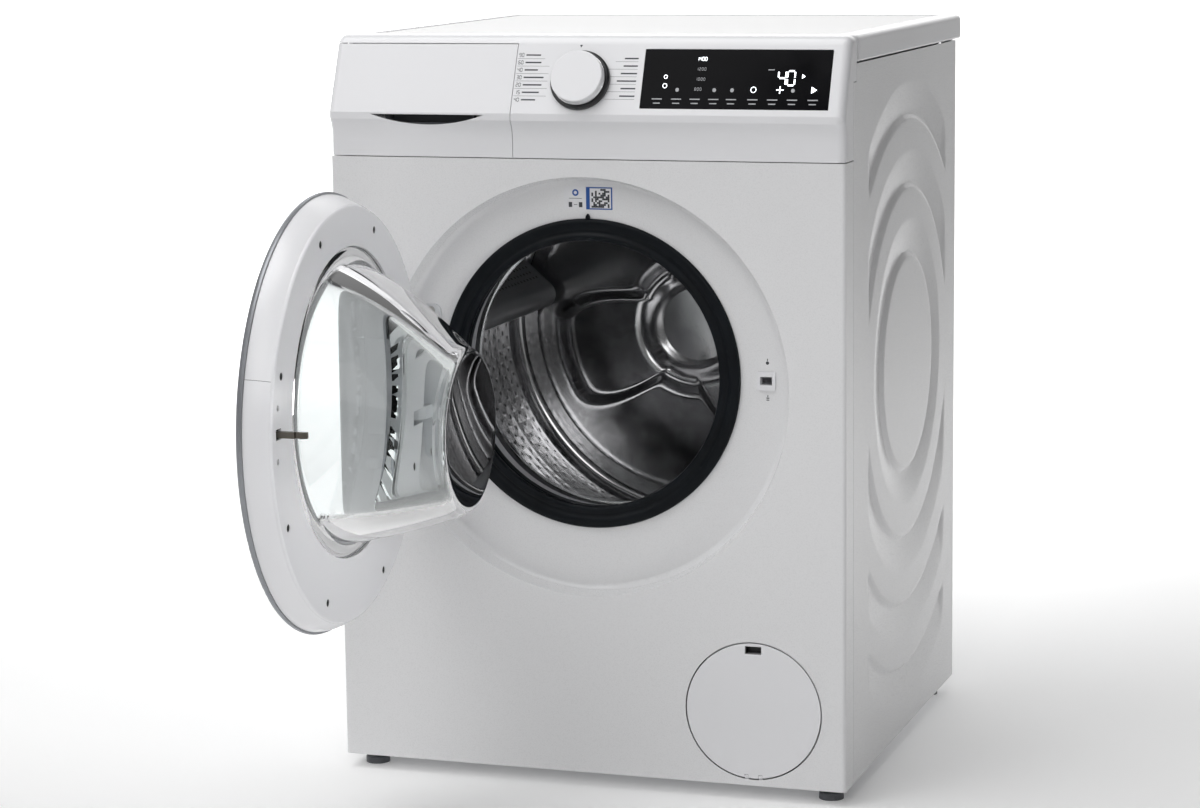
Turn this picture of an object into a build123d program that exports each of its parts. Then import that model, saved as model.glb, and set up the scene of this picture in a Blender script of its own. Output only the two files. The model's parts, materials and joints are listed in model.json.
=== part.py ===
from build123d import *
import os
from math import atan, cos, degrees, radians, sin

# Front load washing machine. Millimetres, +Z up, the front looks along -Y, X runs to the right seen from
# the front. The origin is on the floor, at the centre of the four levelling feet. A "depth" is measured
# from the plane of the front panel towards the back.

# ---- driving dimensions ---------------------------------------------------------------------------------
WIDTH = 598.0
HEIGHT = 848.0
DEPTH = 590.0            # front panel to the rear edge of the worktop
FRONT = -275.0           # y of the front panel plane
HALF = WIDTH / 2
CASE_Z = 17.0            # underside of the cabinet
SEAM_Z = 713.5           # top edge of the front panel, under the control panel
PLATE_Z = 818.0          # underside of the worktop
SIDE_BACK = 552.0        # depth of the rear edges of the side panels
FLANGE = 36.0            # how far the front panel wraps round the sides
FASCIA_BACK = 50.0       # how far the control panel reaches back under the worktop's front edge
SHEET = 1.2              # steel sheet

DOOR_Z = 458.5           # centre of the door and of the recess in the front panel
MOUTH_Z = 471.5          # axis of the drum, the gasket and the glass bowl
RECESS_R = 236.0
RECESS_DEPTH = 24.0
PORT_R = 165.0           # hole in the front panel that holds the gasket

OPEN_ANGLE = 88.0        # the door stands open by this angle at rest
HINGE_X = -217.0
HINGE_DEPTH = -8.0
DOOR_BACK = 16.5         # depth of the inner face of the closed door
DOOR_FRONT = -18.5       # depth of the outer face of the closed door
DOOR_R = 223.3
WINDOW_R = 166.5         # hole in the inner face of the door, round the glass bowl
LATCH_X = 204.0
LATCH_DEPTH = 7.0
HINGE_PIN_R = 2.4
HINGE_LEVELS = (DOOR_Z - 36.0, DOOR_Z + 36.0)
HINGE_PLATE = (HINGE_X + 15.0, HINGE_X + 39.5, 87.0)      # x limits and half height
HINGE_SCREW_X = HINGE_X + 28
HINGE_SCREW_Z = (DOOR_Z - 80, DOOR_Z + 80)
DOOR_SCREW_R = 205.0
DOOR_SCREW_ANGLES = (20, 68, 113, 155, 205, 246, 294, 335)
DOOR_HOLE_ANGLES = (11, -4)      # locating holes above and below the latch
PANE_R, PANE_DOME = 198.0, 4000.0    # outline of the outer pane and radius of its slight dome
PANE_THICK = 2.6
BOWL = (  # distance behind the door's inner face, radius, height of the centre over the drum axis
    (-6.0, 152.6, 0.0),
    (0.0, 150.6, 0.0),
    (46.0, 133.5, -8.0),
    (94.0, 109.0, -18.5),
    (122.0, 92.0, -26.0),
)
BOWL_END = 134.0
GLASS = 5.0
GLASS_FLANGE_R = 174.0

SLOPE_FOOT = (-7.0, 764.0)       # depth and height of the lower end of the sloping control face
SLOPE_HEAD = (24.5, 838.5)       # and of its upper end
SPLIT_X = -80.0                  # joint between the detergent drawer and the control panel
STRIP_Z = 839.0                  # above this the control panel runs the whole width
FASCIA_WALL = 3.0
SLOT_X0, SLOT_X1 = -247.0, -111.0
TRAY = (-276.0, -100.0, 24.5, 226.0, 742.0, 800.0)   # x, depth and height limits of the detergent tray
HOUSING_BACK = 240.0
KNOB_X, KNOB_Z = -2.0, 799.5
KNOB_R, KNOB_RING_R = 29.7, 34.0
SCREEN_X0, SCREEN_X1, SCREEN_Z, SCREEN_HALF = 69.0, 281.0, 802.4, 34.4

FLAP_X, FLAP_Z, FLAP_R = 193.5, 102.4, 77.3
FLAP_GAP = 1.5                   # between the flap and the edge of its hole
FLAP_AXIS = (1.2, 27.2)          # depth and height of the flap's hinge line
FLAP_LUG_X, FLAP_PIN_R = 8.0, 0.7
FILTER_Z = 94.0

BEAD_CENTRE = (300.0, 456.0)     # depth and height
BEAD_RADII = (126.0, 206.0, 286.0, 363.0)
BEAD_REACH = 196.0               # the beads stop this far in front of and behind their centre
WORKTOP_BAND = 24.0
COVER = (-150.0, 150.0, 290.0, 650.0)                # x and height limits of the rear access hole
TRANSIT_X, TRANSIT_Z, TRANSIT_MID, TRANSIT_R = 190.0, 230.0, 480.0, 9.0
INLET_X, INLET_Z = -195.0, 788.0
DRAIN_X, DRAIN_Z = 248.0, 94.0
GLAND_X, GLAND_Z = 215.0, 775.0

TUB_R = 266.0
TUB_LIP = 60.0            # depth of the tub's front collar
DRUM_R = 243.0
DRUM_FRONT, DRUM_BACK = 92.0, 440.0
SHAFT_R = 15.0
BEARING_R = 31.0
PULLEY_R, MOTOR_PULLEY_R = 140.0, 11.6
BELT_DEPTH, BELT_WIDTH = 502.0, 18.0
MOTOR_X, MOTOR_Z, MOTOR_R = 95.0, 138.0, 60.0
LIFTER_ANGLES = (100.0, 220.0, 340.0)
LIFTER_HEIGHT = 58.0
HEATER_Z = MOUTH_Z - 252.2
HOSE_X, HOSE_DEPTH = -188.0, 150.0
SUMP_X, SUMP_DEPTH = 60.0, 122.0

FOOT_X, FOOT_Y = 274.0, 240.0    # the feet stand at plus and minus these
FOOT_R = 14.0
SPRING_X, SPRING_DEPTHS = 236.0, (290.0, 430.0)
SPRING_Z0, SPRING_Z1 = 706.0, 786.0
DAMPER_X, DAMPER_DEPTH = 150.0, 250.0

RUNNING_GAP = 0.05       # radial clearance of a pin or shaft in its bore

LEAN = (SLOPE_HEAD[0] - SLOPE_FOOT[0]) / (SLOPE_HEAD[1] - SLOPE_FOOT[1])
TILT = degrees(atan(LEAN))       # lean of the control face from upright


# ---- construction helpers -------------------------------------------------------------------------------
def block(x0, x1, d0, d1, z0, z1):
    """Box between two x values, two depths and two heights."""
    middle = Pos((x0 + x1) / 2, FRONT + (d0 + d1) / 2, (z0 + z1) / 2)
    return middle * Box(abs(x1 - x0), abs(d1 - d0), abs(z1 - z0))


def rod_y(x, z, r, d0, d1):
    """Cylinder along Y between two depths."""
    return Pos(x, FRONT + (d0 + d1) / 2, z) * Rot(90, 0, 0) * Cylinder(r, abs(d1 - d0))


def rod_z(x, d, r, z0, z1):
    return Pos(x, FRONT + d, (z0 + z1) / 2) * Cylinder(r, abs(z1 - z0))


def rod_x(d, z, r, x0, x1):
    return Pos((x0 + x1) / 2, FRONT + d, z) * Rot(0, 90, 0) * Cylinder(r, abs(x1 - x0))


def poly(*points):
    return make_face(Polyline(*points, close=True))


def lathe(face, x=0.0, z=MOUTH_Z):
    """Turn a profile of (radius, depth) points round an axis along Y."""
    return Pos(x, FRONT, z) * revolve(face, Axis.Y)


def along_x(face, x0, x1):
    """Extrude a profile of (y, z) points from x0 to x1."""
    return extrude(Plane.YZ.offset(x0) * face, x1 - x0)


def along_y(face, d0, d1):
    """Extrude a profile of (x, z) points from one depth to another."""
    start = Plane(origin=(0, FRONT + d0, 0), x_dir=(1, 0, 0), z_dir=(0, -1, 0))
    return extrude(start * face, d0 - d1)


def slope_depth(z):
    """Depth of the sloping control face at a height."""
    return SLOPE_FOOT[0] + (z - SLOPE_FOOT[1]) * LEAN


def on_slope(x, z):
    """Plane on the sloping control face: its x runs right, its y up the slope, its normal outwards."""
    normal = (0, -cos(radians(TILT)), sin(radians(TILT)))
    return Plane(origin=(x, FRONT + slope_depth(z), z), x_dir=(1, 0, 0), z_dir=normal)


def disc_on_slope(x, z, r, low, high):
    return extrude(on_slope(x, z).offset(low) * Circle(r), high - low)


def tube_through(points, radius, r_out, r_in=0.0):
    """Round tube or rod along straight runs joined by arcs of one radius."""
    line = FilletPolyline(*[(x, FRONT + d, z) for x, d, z in points], radius=radius)
    start = Plane(origin=line @ 0, z_dir=line % 0)
    section = Circle(r_out) - Circle(r_in) if r_in else Circle(r_out)
    return sweep(start * section, path=line)


def union(items):
    items = list(items)
    total = items[0]
    for item in items[1:]:
        total += item
    return total


def open_door(shape):
    """Swing a shape of the closed door to the rest position."""
    hinge_line = Axis((HINGE_X, FRONT + HINGE_DEPTH, 0), (0, 0, 1))
    return shape.rotate(hinge_line, -OPEN_ANGLE)


def corners(x, y):
    return [(sx * x, sy * y) for sx in (-1, 1) for sy in (-1, 1)]


# ---- cabinet --------------------------------------------------------------------------------------------
def front_panel():
    pan = block(-HALF, HALF, 0, FLANGE, CASE_Z, SEAM_Z)
    upright = pan.edges().filter_by(Axis.Z).group_by(Axis.Y)[0]
    pan = fillet(upright, 4.0)
    pan -= block(-HALF + SHEET, HALF - SHEET, SHEET, FLANGE + 1, CASE_Z + SHEET, SEAM_Z - SHEET)
    pan -= rod_y(0, DOOR_Z, RECESS_R, -1, SHEET)
    pan += lathe(make_face([
        Line((RECESS_R, 0), (RECESS_R - 3.5, 15)),
        ThreePointArc((RECESS_R - 3.5, 15), (RECESS_R - 5.4, 20.3), (RECESS_R - 10, 22.5)),
        Line((RECESS_R - 10, 22.5), (0, RECESS_DEPTH)),
        Line((0, RECESS_DEPTH), (0, RECESS_DEPTH + SHEET)),
        Line((0, RECESS_DEPTH + SHEET), (RECESS_R - 9.6, 23.75)),
        ThreePointArc((RECESS_R - 9.6, 23.75), (RECESS_R - 4.4, 21.1), (RECESS_R - 2.3, 15.2)),
        Line((RECESS_R - 2.3, 15.2), (RECESS_R + 1.25, SHEET)),
        Line((RECESS_R + 1.25, SHEET), (RECESS_R, 0)),
    ]), 0, DOOR_Z)
    pan -= rod_y(0, MOUTH_Z, PORT_R, 10, 40)
    pan += lathe(poly((PORT_R, 23.6), (PORT_R + SHEET, 23.6), (PORT_R + SHEET, 34), (PORT_R, 34)))
    pan -= block(LATCH_X - 9, LATCH_X + 9, 20, 30, MOUTH_Z - 9, MOUTH_Z + 9)
    pan -= rod_y(FLAP_X, FLAP_Z, FLAP_R + FLAP_GAP, -1, 4)
    for z in HINGE_SCREW_Z:
        pan -= rod_y(HINGE_SCREW_X, z, 3.0, 15, 30)
    for x in (-FOOT_X, FOOT_X):
        pan -= rod_z(x, -FOOT_Y - FRONT, 14, CASE_Z - 1, CASE_Z + 2)
    return pan


def bead_ring(radius, lift):
    """Ring of triangular section for one pressed bead, its sharp edge on the inside."""
    depth = 4.5
    profile = poly((radius, lift), (radius + 4, lift - depth), (radius + 42, lift),
                   (radius + 42, lift + 2), (radius, lift + 2))
    ring = Rot(0, 0, -90) * revolve(profile, Axis.Y)
    ring = Pos(HALF, FRONT + BEAD_CENTRE[0], BEAD_CENTRE[1]) * ring
    low, high = CASE_Z + 14, PLATE_Z - 14
    if radius == BEAD_RADII[-1]:
        high = BEAD_CENTRE[1] - 120
    reach = BEAD_REACH + (SHEET if lift else 0)
    window = block(HALF - 40, HALF + 5, BEAD_CENTRE[0] - reach, BEAD_CENTRE[0] + reach, low, high)
    return ring & window


def side_panel_right():
    panel = block(HALF - SHEET, HALF, FLANGE + 0.8, SIDE_BACK, CASE_Z, PLATE_Z)
    for radius in BEAD_RADII:
        inner = bead_ring(radius, -SHEET) & block(HALF - 8, HALF - SHEET / 2, 0, SIDE_BACK, CASE_Z, PLATE_Z)
        panel += inner
    for radius in BEAD_RADII:
        panel -= bead_ring(radius, 0)
    panel += block(HALF - 18, HALF - SHEET / 2, SIDE_BACK - SHEET, SIDE_BACK, CASE_Z, PLATE_Z)
    panel += block(HALF - 14, HALF - SHEET / 2, FLANGE + 0.8, FLANGE + 2, CASE_Z + 40, SEAM_Z - 4)
    panel -= block(HALF - 20, HALF + 5, FLANGE, FASCIA_BACK + 0.6, PLATE_Z - 20, PLATE_Z + 5)
    for depth in SPRING_DEPTHS:
        panel += block(SPRING_X - 14, HALF - 1, depth - 9, depth + 9, SPRING_Z1 + 2, SPRING_Z1 + 6)
    panel += block(HALF - 16, HALF - SHEET / 2, FASCIA_BACK + 1, SIDE_BACK, PLATE_Z - SHEET, PLATE_Z)
    return panel


def rear_panel():
    d0, d1 = SIDE_BACK - 3.6, SIDE_BACK - 2.4
    panel = block(-HALF + 6, HALF - 6, d0, d1, CASE_Z + 3, PLATE_Z - 4)
    for i in range(6):
        z = 170 + i * 18
        panel += block(-220, 150, d1 - 0.1, d1 + 2.2, z, z + 8)
    x0, x1, z0, z1 = COVER
    panel -= along_y(Pos((x0 + x1) / 2, (z0 + z1) / 2) * RectangleRounded(x1 - x0, z1 - z0, 60), 540, 560)
    for sx in (-1, 1):
        for sz in (-1, 1):
            panel -= rod_y(sx * TRANSIT_X, TRANSIT_MID + sz * TRANSIT_Z / 2, TRANSIT_R, 540, 560)
    panel -= rod_y(INLET_X, INLET_Z, 17.6, 540, 560)
    panel -= rod_y(DRAIN_X, DRAIN_Z, 12.4, 540, 560)
    panel -= rod_y(GLAND_X, GLAND_Z, 8.2, 540, 560)
    return panel


def rear_cover():
    x0, x1, z0, z1 = COVER
    middle = Pos((x0 + x1) / 2, (z0 + z1) / 2)
    wide, tall = x1 - x0, z1 - z0
    d0 = SIDE_BACK - 2.4
    flange = along_y(middle * RectangleRounded(wide + 24, tall + 24, 70), d0, d0 + 1.2)
    flange -= along_y(middle * RectangleRounded(wide - 30, tall - 30, 46), d0 - 1, d0 + 3)
    dome = along_y(middle * RectangleRounded(wide - 26, tall - 26, 48), d0, d0 + 14)
    dome = fillet(dome.edges().group_by(Axis.Y)[-1], 4)
    dome -= along_y(middle * RectangleRounded(wide - 30, tall - 30, 46), d0 - 1, d0 + 12.5)
    for i in range(7):
        z = MOUTH_Z - 60 + i * 20
        dome -= block(-60, 60, d0 + 10, d0 + 20, z - 2.5, z + 2.5)
    return flange + dome


def base_plate():
    d0, d1 = 3.0, SIDE_BACK - 6
    tray = block(-HALF + 4, HALF - 4, d0, d1, CASE_Z + 1.4, CASE_Z + 34)
    tray -= block(-HALF + 7, HALF - 7, d0 + 3, d1 - 3, CASE_Z + 4.4, CASE_Z + 40)
    for x, y in corners(FOOT_X, FOOT_Y):
        tray += rod_z(x, y - FRONT, 13, CASE_Z, CASE_Z + 20)
        tray -= rod_z(x, y - FRONT, 5.0, CASE_Z - 2, CASE_Z + 60)
    for x in (-DAMPER_X, DAMPER_X):
        tray += block(x - 22, x + 22, DAMPER_DEPTH - 30, DAMPER_DEPTH + 30, CASE_Z + 4, CASE_Z + 12)
    for d in (140, 340, 460):
        tray += block(-HALF + 6, HALF - 6, d, d + 3, CASE_Z + 4, CASE_Z + 14)
    tray -= rod_y(FLAP_X, FLAP_Z, FLAP_R + 6.4, -2, 54)
    return tray


def feet():
    shapes = []
    for x, y in corners(FOOT_X, FOOT_Y):
        d = y - FRONT
        pad = rod_z(x, d, FOOT_R, 0, 8)
        pad = fillet(pad.edges().group_by(Axis.Z)[-1], 2)
        shapes.append(pad + rod_z(x, d, 4.9, 7, CASE_Z + 34))
    return union(shapes)


def foot_lock_nuts():
    nut = RegularPolygon(9.5, 6) - Circle(5.0)
    return union(Pos(x, y, CASE_Z - 6.4) * extrude(nut, 6) for x, y in corners(FOOT_X, FOOT_Y))


def worktop_outline(inset, d0, d1):
    wide, deep = WIDTH - 2 * inset, d1 - d0
    return Pos(0, FRONT + (d0 + d1) / 2) * RectangleRounded(wide, deep, max(2.0, 12.0 - inset / 2))


def worktop_frame():
    frame = Pos(0, 0, PLATE_Z + 1) * extrude(worktop_outline(0, 50.5, DEPTH), HEIGHT - PLATE_Z - 1)
    frame = fillet(frame.edges().group_by(Axis.Z)[-1], 6)
    frame = fillet(frame.edges().group_by(Axis.Z)[0], 3)
    hollow = worktop_outline(WORKTOP_BAND, 50.5 + WORKTOP_BAND, DEPTH - WORKTOP_BAND)
    return frame - Pos(0, 0, PLATE_Z - 2) * extrude(hollow, 40)


def worktop_board():
    sheet = worktop_outline(WORKTOP_BAND + 0.3, 50.8 + WORKTOP_BAND, DEPTH - WORKTOP_BAND - 0.3)
    board = Pos(0, 0, HEIGHT - 17) * extrude(sheet, 16.3)
    return chamfer(board.edges().group_by(Axis.Z)[-1], 0.6)


def cross_rails():
    front = block(-HALF + 20, HALF - 20, 56, 84, PLATE_Z - 24, PLATE_Z - 0.3)
    front -= block(-HALF + 18, HALF - 18, 58, 82, PLATE_Z - 26, PLATE_Z - 2)
    front -= block(-HALF + 10, SPLIT_X - 4, 50, 90, PLATE_Z - 30, PLATE_Z - 1.6)
    rear = block(-HALF + 20, HALF - 20, 512, 546, PLATE_Z - 24, PLATE_Z - 0.3)
    rear -= block(-HALF + 18, HALF - 18, 514, 544, PLATE_Z - 26, PLATE_Z - 2)
    rear -= block(INLET_X - 26, INLET_X + 26, 500, 560, PLATE_Z - 30, INLET_Z + 20)
    return front + rear


# ---- control panel and detergent drawer -----------------------------------------------------------------
def fascia_face(inset=0.0):
    """Side profile of the fascia in (y, z)."""
    def at(point):
        return (FRONT + point[0], point[1])
    foot, knee, nose = (0, SEAM_Z + 1), (0, 731), (SLOPE_FOOT[0], 756)
    shoulder, crown, back = (29.75, 845.35), (38, HEIGHT), (FASCIA_BACK, HEIGHT)
    edges = [
        Line(at(foot), at(knee)),
        ThreePointArc(at(knee), at((-1.6, 744.5)), at(nose)),
        Line(at(nose), at(SLOPE_FOOT)),
        Line(at(SLOPE_FOOT), at(SLOPE_HEAD)),
        ThreePointArc(at(SLOPE_HEAD), at(shoulder), at(crown)),
        Line(at(crown), at(back)),
        Line(at(back), at((FASCIA_BACK, SEAM_Z + 1))),
        Line(at((FASCIA_BACK, SEAM_Z + 1)), at(foot)),
    ]
    face = make_face(edges)
    return offset(face, -inset) if inset else face


def fascia_blank():
    """The fascia of the whole width, as a closed shell that is open at the back."""
    solid = along_x(fascia_face(), -HALF, HALF)
    crease = solid.edges().filter_by(Axis.X).group_by(Axis.Y)[0]
    solid = fillet(crease, 2.5)
    ends = solid.faces().filter_by(Axis.X)
    rims = [
        edge
        for face in ends
        for edge in face.edges()
        if edge.center().Y < FRONT + FASCIA_BACK - 2 and edge.center().Z > SEAM_Z + 2
    ]
    solid = fillet(rims, 9.0)
    hollow = along_x(fascia_face(FASCIA_WALL), -HALF + FASCIA_WALL, HALF - FASCIA_WALL)
    mouth = block(-HALF + FASCIA_WALL, HALF - FASCIA_WALL, 40, 60, SEAM_Z + 4, HEIGHT - FASCIA_WALL)
    below_top = block(-HALF - 5, HALF + 5, FLANGE, 60, SEAM_Z - 5, PLATE_Z - 19)
    return solid - hollow - mouth - below_top


def fascia_filling():
    return along_x(fascia_face(FASCIA_WALL / 2), -HALF + 1, HALF - 1)


def drawer_zone(gap):
    return block(-HALF - 5, SPLIT_X + gap, -20, 60, SEAM_Z - 5, STRIP_Z + gap)


def control_panel(blank):
    panel = blank - drawer_zone(0.4)
    screen = Rectangle(SCREEN_X1 - SCREEN_X0, 2 * SCREEN_HALF)
    plane = on_slope((SCREEN_X0 + SCREEN_X1) / 2, SCREEN_Z)
    panel -= extrude(plane.offset(-1.8) * screen, 10)
    panel -= disc_on_slope(KNOB_X, KNOB_Z, 9.0, -10, 5)
    divider = block(SPLIT_X + 0.4, SPLIT_X + 3.4, -12, FLANGE, SEAM_Z + 2, HEIGHT - 2) & fascia_filling()
    return panel + divider


def drawer_front(blank):
    front = blank & drawer_zone(-0.4)
    front += block(-HALF + 2, SPLIT_X - 0.4, 6, 9, SEAM_Z + 8, 784)
    mid = (SLOT_X0 + SLOT_X1) / 2
    lens = make_face([
        Line((SLOT_X0, 762), (SLOT_X1, 762)),
        ThreePointArc((SLOT_X1, 762), (mid, 750.5), (SLOT_X0, 762)),
    ])
    front -= along_y(lens, -20, 8.8)
    front -= block(SLOT_X0 + 14, SLOT_X1 - 14, 4, 14, 749.6, 790)
    return front


def drawer_handle_cup():
    """Dark finger cup behind the slot, open to the front below and closed above."""
    x0, x1 = SLOT_X0 + 15, SLOT_X1 - 15
    cup = block(x0, x1, 1.6, 21.6, 750, 786) - block(x0 + 2, x1 - 2, 0, 19.6, 752.4, 784)
    slope = Pos(FRONT, 0) * poly((-20, 740), (1.6, 740), (1.6, 774), (12, 798), (-20, 798))
    return cup - along_x(slope, x0 - 5, x1 + 5)


def drawer_tray():
    x0, x1, d0, d1, z0, z1 = TRAY
    tray = block(x0, x1, d0 - 2.4, d1, z0, z1)
    tray -= block(x0 + 2.4, x1 - 2.4, d0, d1 - 2.4, z0 + 2.4, z1 + 1)
    for x in (x0, x1 - 12):
        tray += block(x, x + 12, 9, d0, z0, z0 + 40)
    first, second = x0 + 58, x0 + 116
    for x in (first, second):
        tray += block(x, x + 2, d0 - 1, d1 - 2, z0 + 2, z1 - 4)
    tray += block(first + 2, second, d0 + 96, d0 + 98, z0 + 2, z1 - 20)
    return fillet(tray.edges().filter_by(Axis.Z).group_by(Axis.Y)[-1], 8)


def siphon_insert():
    x0, x1, d0, d1, z0, z1 = TRAY
    first, second = x0 + 60.6, x0 + 115.4
    lid = block(first, second, d0 + 99, d1 - 4, z1 - 10, z1 - 7.4)
    chimney = rod_z((first + second) / 2, d1 - 30, 8, z0 + 12, z1 - 8)
    chimney -= rod_z((first + second) / 2, d1 - 30, 6, z0 + 10, z1 - 10)
    tab = block(first + 18, second - 18, d0 + 103, d0 + 106, z1 - 8, z1 - 2)
    return lid + chimney + tab


def dispenser_housing():
    x0, x1, d0, d1, z0, z1 = TRAY
    gap, wall = 2.0, 2.4
    outer = block(x0 - gap - wall, x1 + gap + wall, FASCIA_BACK + 3, HOUSING_BACK, z0 - 1.6 - wall, z1 + 9)
    inner = block(x0 - gap, x1 + gap, FASCIA_BACK, HOUSING_BACK - wall, z0 - 0.6, z1 + 6.6)
    housing = outer - inner
    housing -= rod_z(HOSE_X, HOSE_DEPTH, 17.4, z0 - 10, z0 + 1)
    housing += rod_y(INLET_X, INLET_Z, 9, HOUSING_BACK - 1, HOUSING_BACK + 22)
    housing -= rod_y(INLET_X, INLET_Z, 6.5, HOUSING_BACK - 4, HOUSING_BACK + 30)
    return housing


def display_window():
    plane = on_slope((SCREEN_X0 + SCREEN_X1) / 2, SCREEN_Z)
    glass = RectangleRounded(SCREEN_X1 - SCREEN_X0 - 0.6, 2 * SCREEN_HALF - 0.6, 1.2)
    pane = extrude(plane.offset(-1.7) * glass, 2.1)
    outer_face = pane.faces().sort_by(Axis(plane.origin, plane.z_dir))[-1]
    return chamfer(outer_face.edges(), 0.4)


def control_board():
    plane = on_slope((SCREEN_X0 + SCREEN_X1) / 2, SCREEN_Z)
    board = extrude(plane.offset(-9) * Rectangle(190, 56), 1.6)
    chips = [
        extrude(plane.offset(-13) * Pos(x, y) * Rectangle(16, 12), 4)
        for x in (-60, 0, 60)
        for y in (-14, 12)
    ]
    return union([board] + chips)


def knob_ring():
    ring = disc_on_slope(KNOB_X, KNOB_Z, KNOB_RING_R, 0.1, 5.6) - disc_on_slope(KNOB_X, KNOB_Z, 8.0, -1, 9)
    top = ring.edges().filter_by(GeomType.CIRCLE).sort_by(Axis((0, 0, 0), on_slope(0, KNOB_Z).z_dir))[-2:]
    return chamfer([edge for edge in top if edge.radius > 20], 1.6)


def knob_cap():
    cap = disc_on_slope(KNOB_X, KNOB_Z, KNOB_R, 6.4, 17.6)
    face = on_slope(KNOB_X, KNOB_Z)
    cap = fillet(cap.faces().sort_by(Axis(face.origin, face.z_dir))[-1].edges(), 1.4)
    cap -= disc_on_slope(KNOB_X, KNOB_Z, KNOB_R - 2.2, 6, 14.6)
    cap += disc_on_slope(KNOB_X, KNOB_Z, 7.0, -6, 15)
    return cap + disc_on_slope(KNOB_X, KNOB_Z, 3.0, -20, -5)


def selector_encoder():
    face = on_slope(KNOB_X, KNOB_Z)
    body = extrude(face.offset(-21) * Rectangle(24, 24), 12)
    plate = extrude(face.offset(-12) * Rectangle(44, 34), 1.6)
    return body + plate - disc_on_slope(KNOB_X, KNOB_Z, 3.0 + RUNNING_GAP, -22, -5)


# ---- door -----------------------------------------------------------------------------------------------
def door_ring():
    """White inner shell of the door: flared rim, flat inner face and the collar round the glass."""
    wall = 3.0
    outer = make_face([
        Line((DOOR_R - 3, DOOR_BACK), (0, DOOR_BACK)),
        Line((0, DOOR_BACK), (0, -10.8)),
        Line((0, -10.8), (DOOR_R + 10.4, -10.8)),
        ThreePointArc((DOOR_R + 10.4, -10.8), (DOOR_R + 6.0, 3), (DOOR_R, DOOR_BACK - 3)),
        ThreePointArc((DOOR_R, DOOR_BACK - 3), (DOOR_R - 0.9, DOOR_BACK - 0.9), (DOOR_R - 3, DOOR_BACK)),
    ])
    shell = lathe(outer, 0, DOOR_Z)
    hollow = poly((0, DOOR_BACK - wall), (DOOR_R - wall, DOOR_BACK - wall), (DOOR_R + 3, 3),
                  (DOOR_R + 7, -12), (0, -12))
    shell -= lathe(hollow, 0, DOOR_Z)
    shell -= rod_y(0, MOUTH_Z, WINDOW_R, 0, 30)
    for z in HINGE_LEVELS:
        shell -= block(HINGE_X - 30, HINGE_X + 29, -12, 30, z - 8, z + 8)
    shell -= block(LATCH_X - 7, LATCH_X + 7, 10, 20, MOUTH_Z - 5.5, MOUTH_Z + 5.5)
    for x, z in door_screw_places():
        shell += rod_y(x, z, 6.4, 1.0, DOOR_BACK - 2)
        shell -= rod_y(x, z, 4.2, 4.2, DOOR_BACK + 2)
        shell -= rod_y(x, z, 2.2, -1, 6)
    for angle in DOOR_HOLE_ANGLES:
        x, z = 208 * cos(radians(angle)), DOOR_Z + 208 * sin(radians(angle))
        shell -= rod_y(x, z, 3.2, 5, 20)
    return shell


def door_screw_places():
    return [
        (DOOR_SCREW_R * cos(radians(a)), DOOR_Z + DOOR_SCREW_R * sin(radians(a)))
        for a in DOOR_SCREW_ANGLES
    ]


def door_screws():
    screws = []
    for x, z in door_screw_places():
        screws.append(rod_y(x, z, 3.8, 4.2, 6.6) + rod_y(x, z, 1.9, -9, 4.4))
    return union(screws)


def door_trim():
    """Grey outer ring that frames the outer pane and carries the screw bosses."""
    lip, rebate = 193.0, PANE_R + 0.4
    face = make_face([
        Line((lip, -14.3), (lip, DOOR_FRONT + 1.3)),
        Line((lip, DOOR_FRONT + 1.3), (lip + 3, DOOR_FRONT)),
        Line((lip + 3, DOOR_FRONT), (DOOR_R + 7.5, DOOR_FRONT)),
        ThreePointArc((DOOR_R + 7.5, DOOR_FRONT), (DOOR_R + 11.6, DOOR_FRONT + 2.0), (DOOR_R + 13, -13.2)),
        Line((DOOR_R + 13, -13.2), (DOOR_R + 12.4, -11.1)),
        Line((DOOR_R + 12.4, -11.1), (rebate, -11.1)),
        Line((rebate, -11.1), (rebate, -14.3)),
        Line((rebate, -14.3), (lip, -14.3)),
    ])
    trim = lathe(face, 0, DOOR_Z)
    for x, z in door_screw_places():
        trim += rod_y(x, z, 5.0, -13, 0.6)
        trim -= rod_y(x, z, 1.9, -10.5, 2)
    low, high = HINGE_LEVELS
    return trim - block(HINGE_X - 8, HINGE_X + 12, -15, -10, low - 18, high + 18)


def door_window():
    """Clear outer pane, slightly domed."""
    centre = Pos(0, FRONT - 16.2 + PANE_DOME, DOOR_Z)
    disc = rod_y(0, DOOR_Z, PANE_R, -24, -4) & (centre * Sphere(PANE_DOME + PANE_THICK))
    return disc - centre * Sphere(PANE_DOME)


def bowl_plane(reach, rise):
    centre = (0, FRONT + DOOR_BACK + reach, MOUTH_Z + rise)
    return Plane(origin=centre, x_dir=(1, 0, 0), z_dir=(0, 1, 0))


def bowl_solid(shrink, start, end):
    """Solid lofted through the bowl's round sections; shrunk by the glass thickness it is the inside."""
    sections = [
        bowl_plane(start if reach < 0 else reach, rise) * Circle(radius - shrink)
        for reach, radius, rise in BOWL
    ]
    last, tip_radius, tip_rise = BOWL[-1]
    nose = extrude(bowl_plane(last, tip_rise) * Circle(tip_radius - shrink), end - last, taper=14)
    nose = fillet(nose.edges().group_by(Axis.Y)[-1], 9 - shrink / 2)
    return loft(Sketch() + sections) + nose


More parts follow.
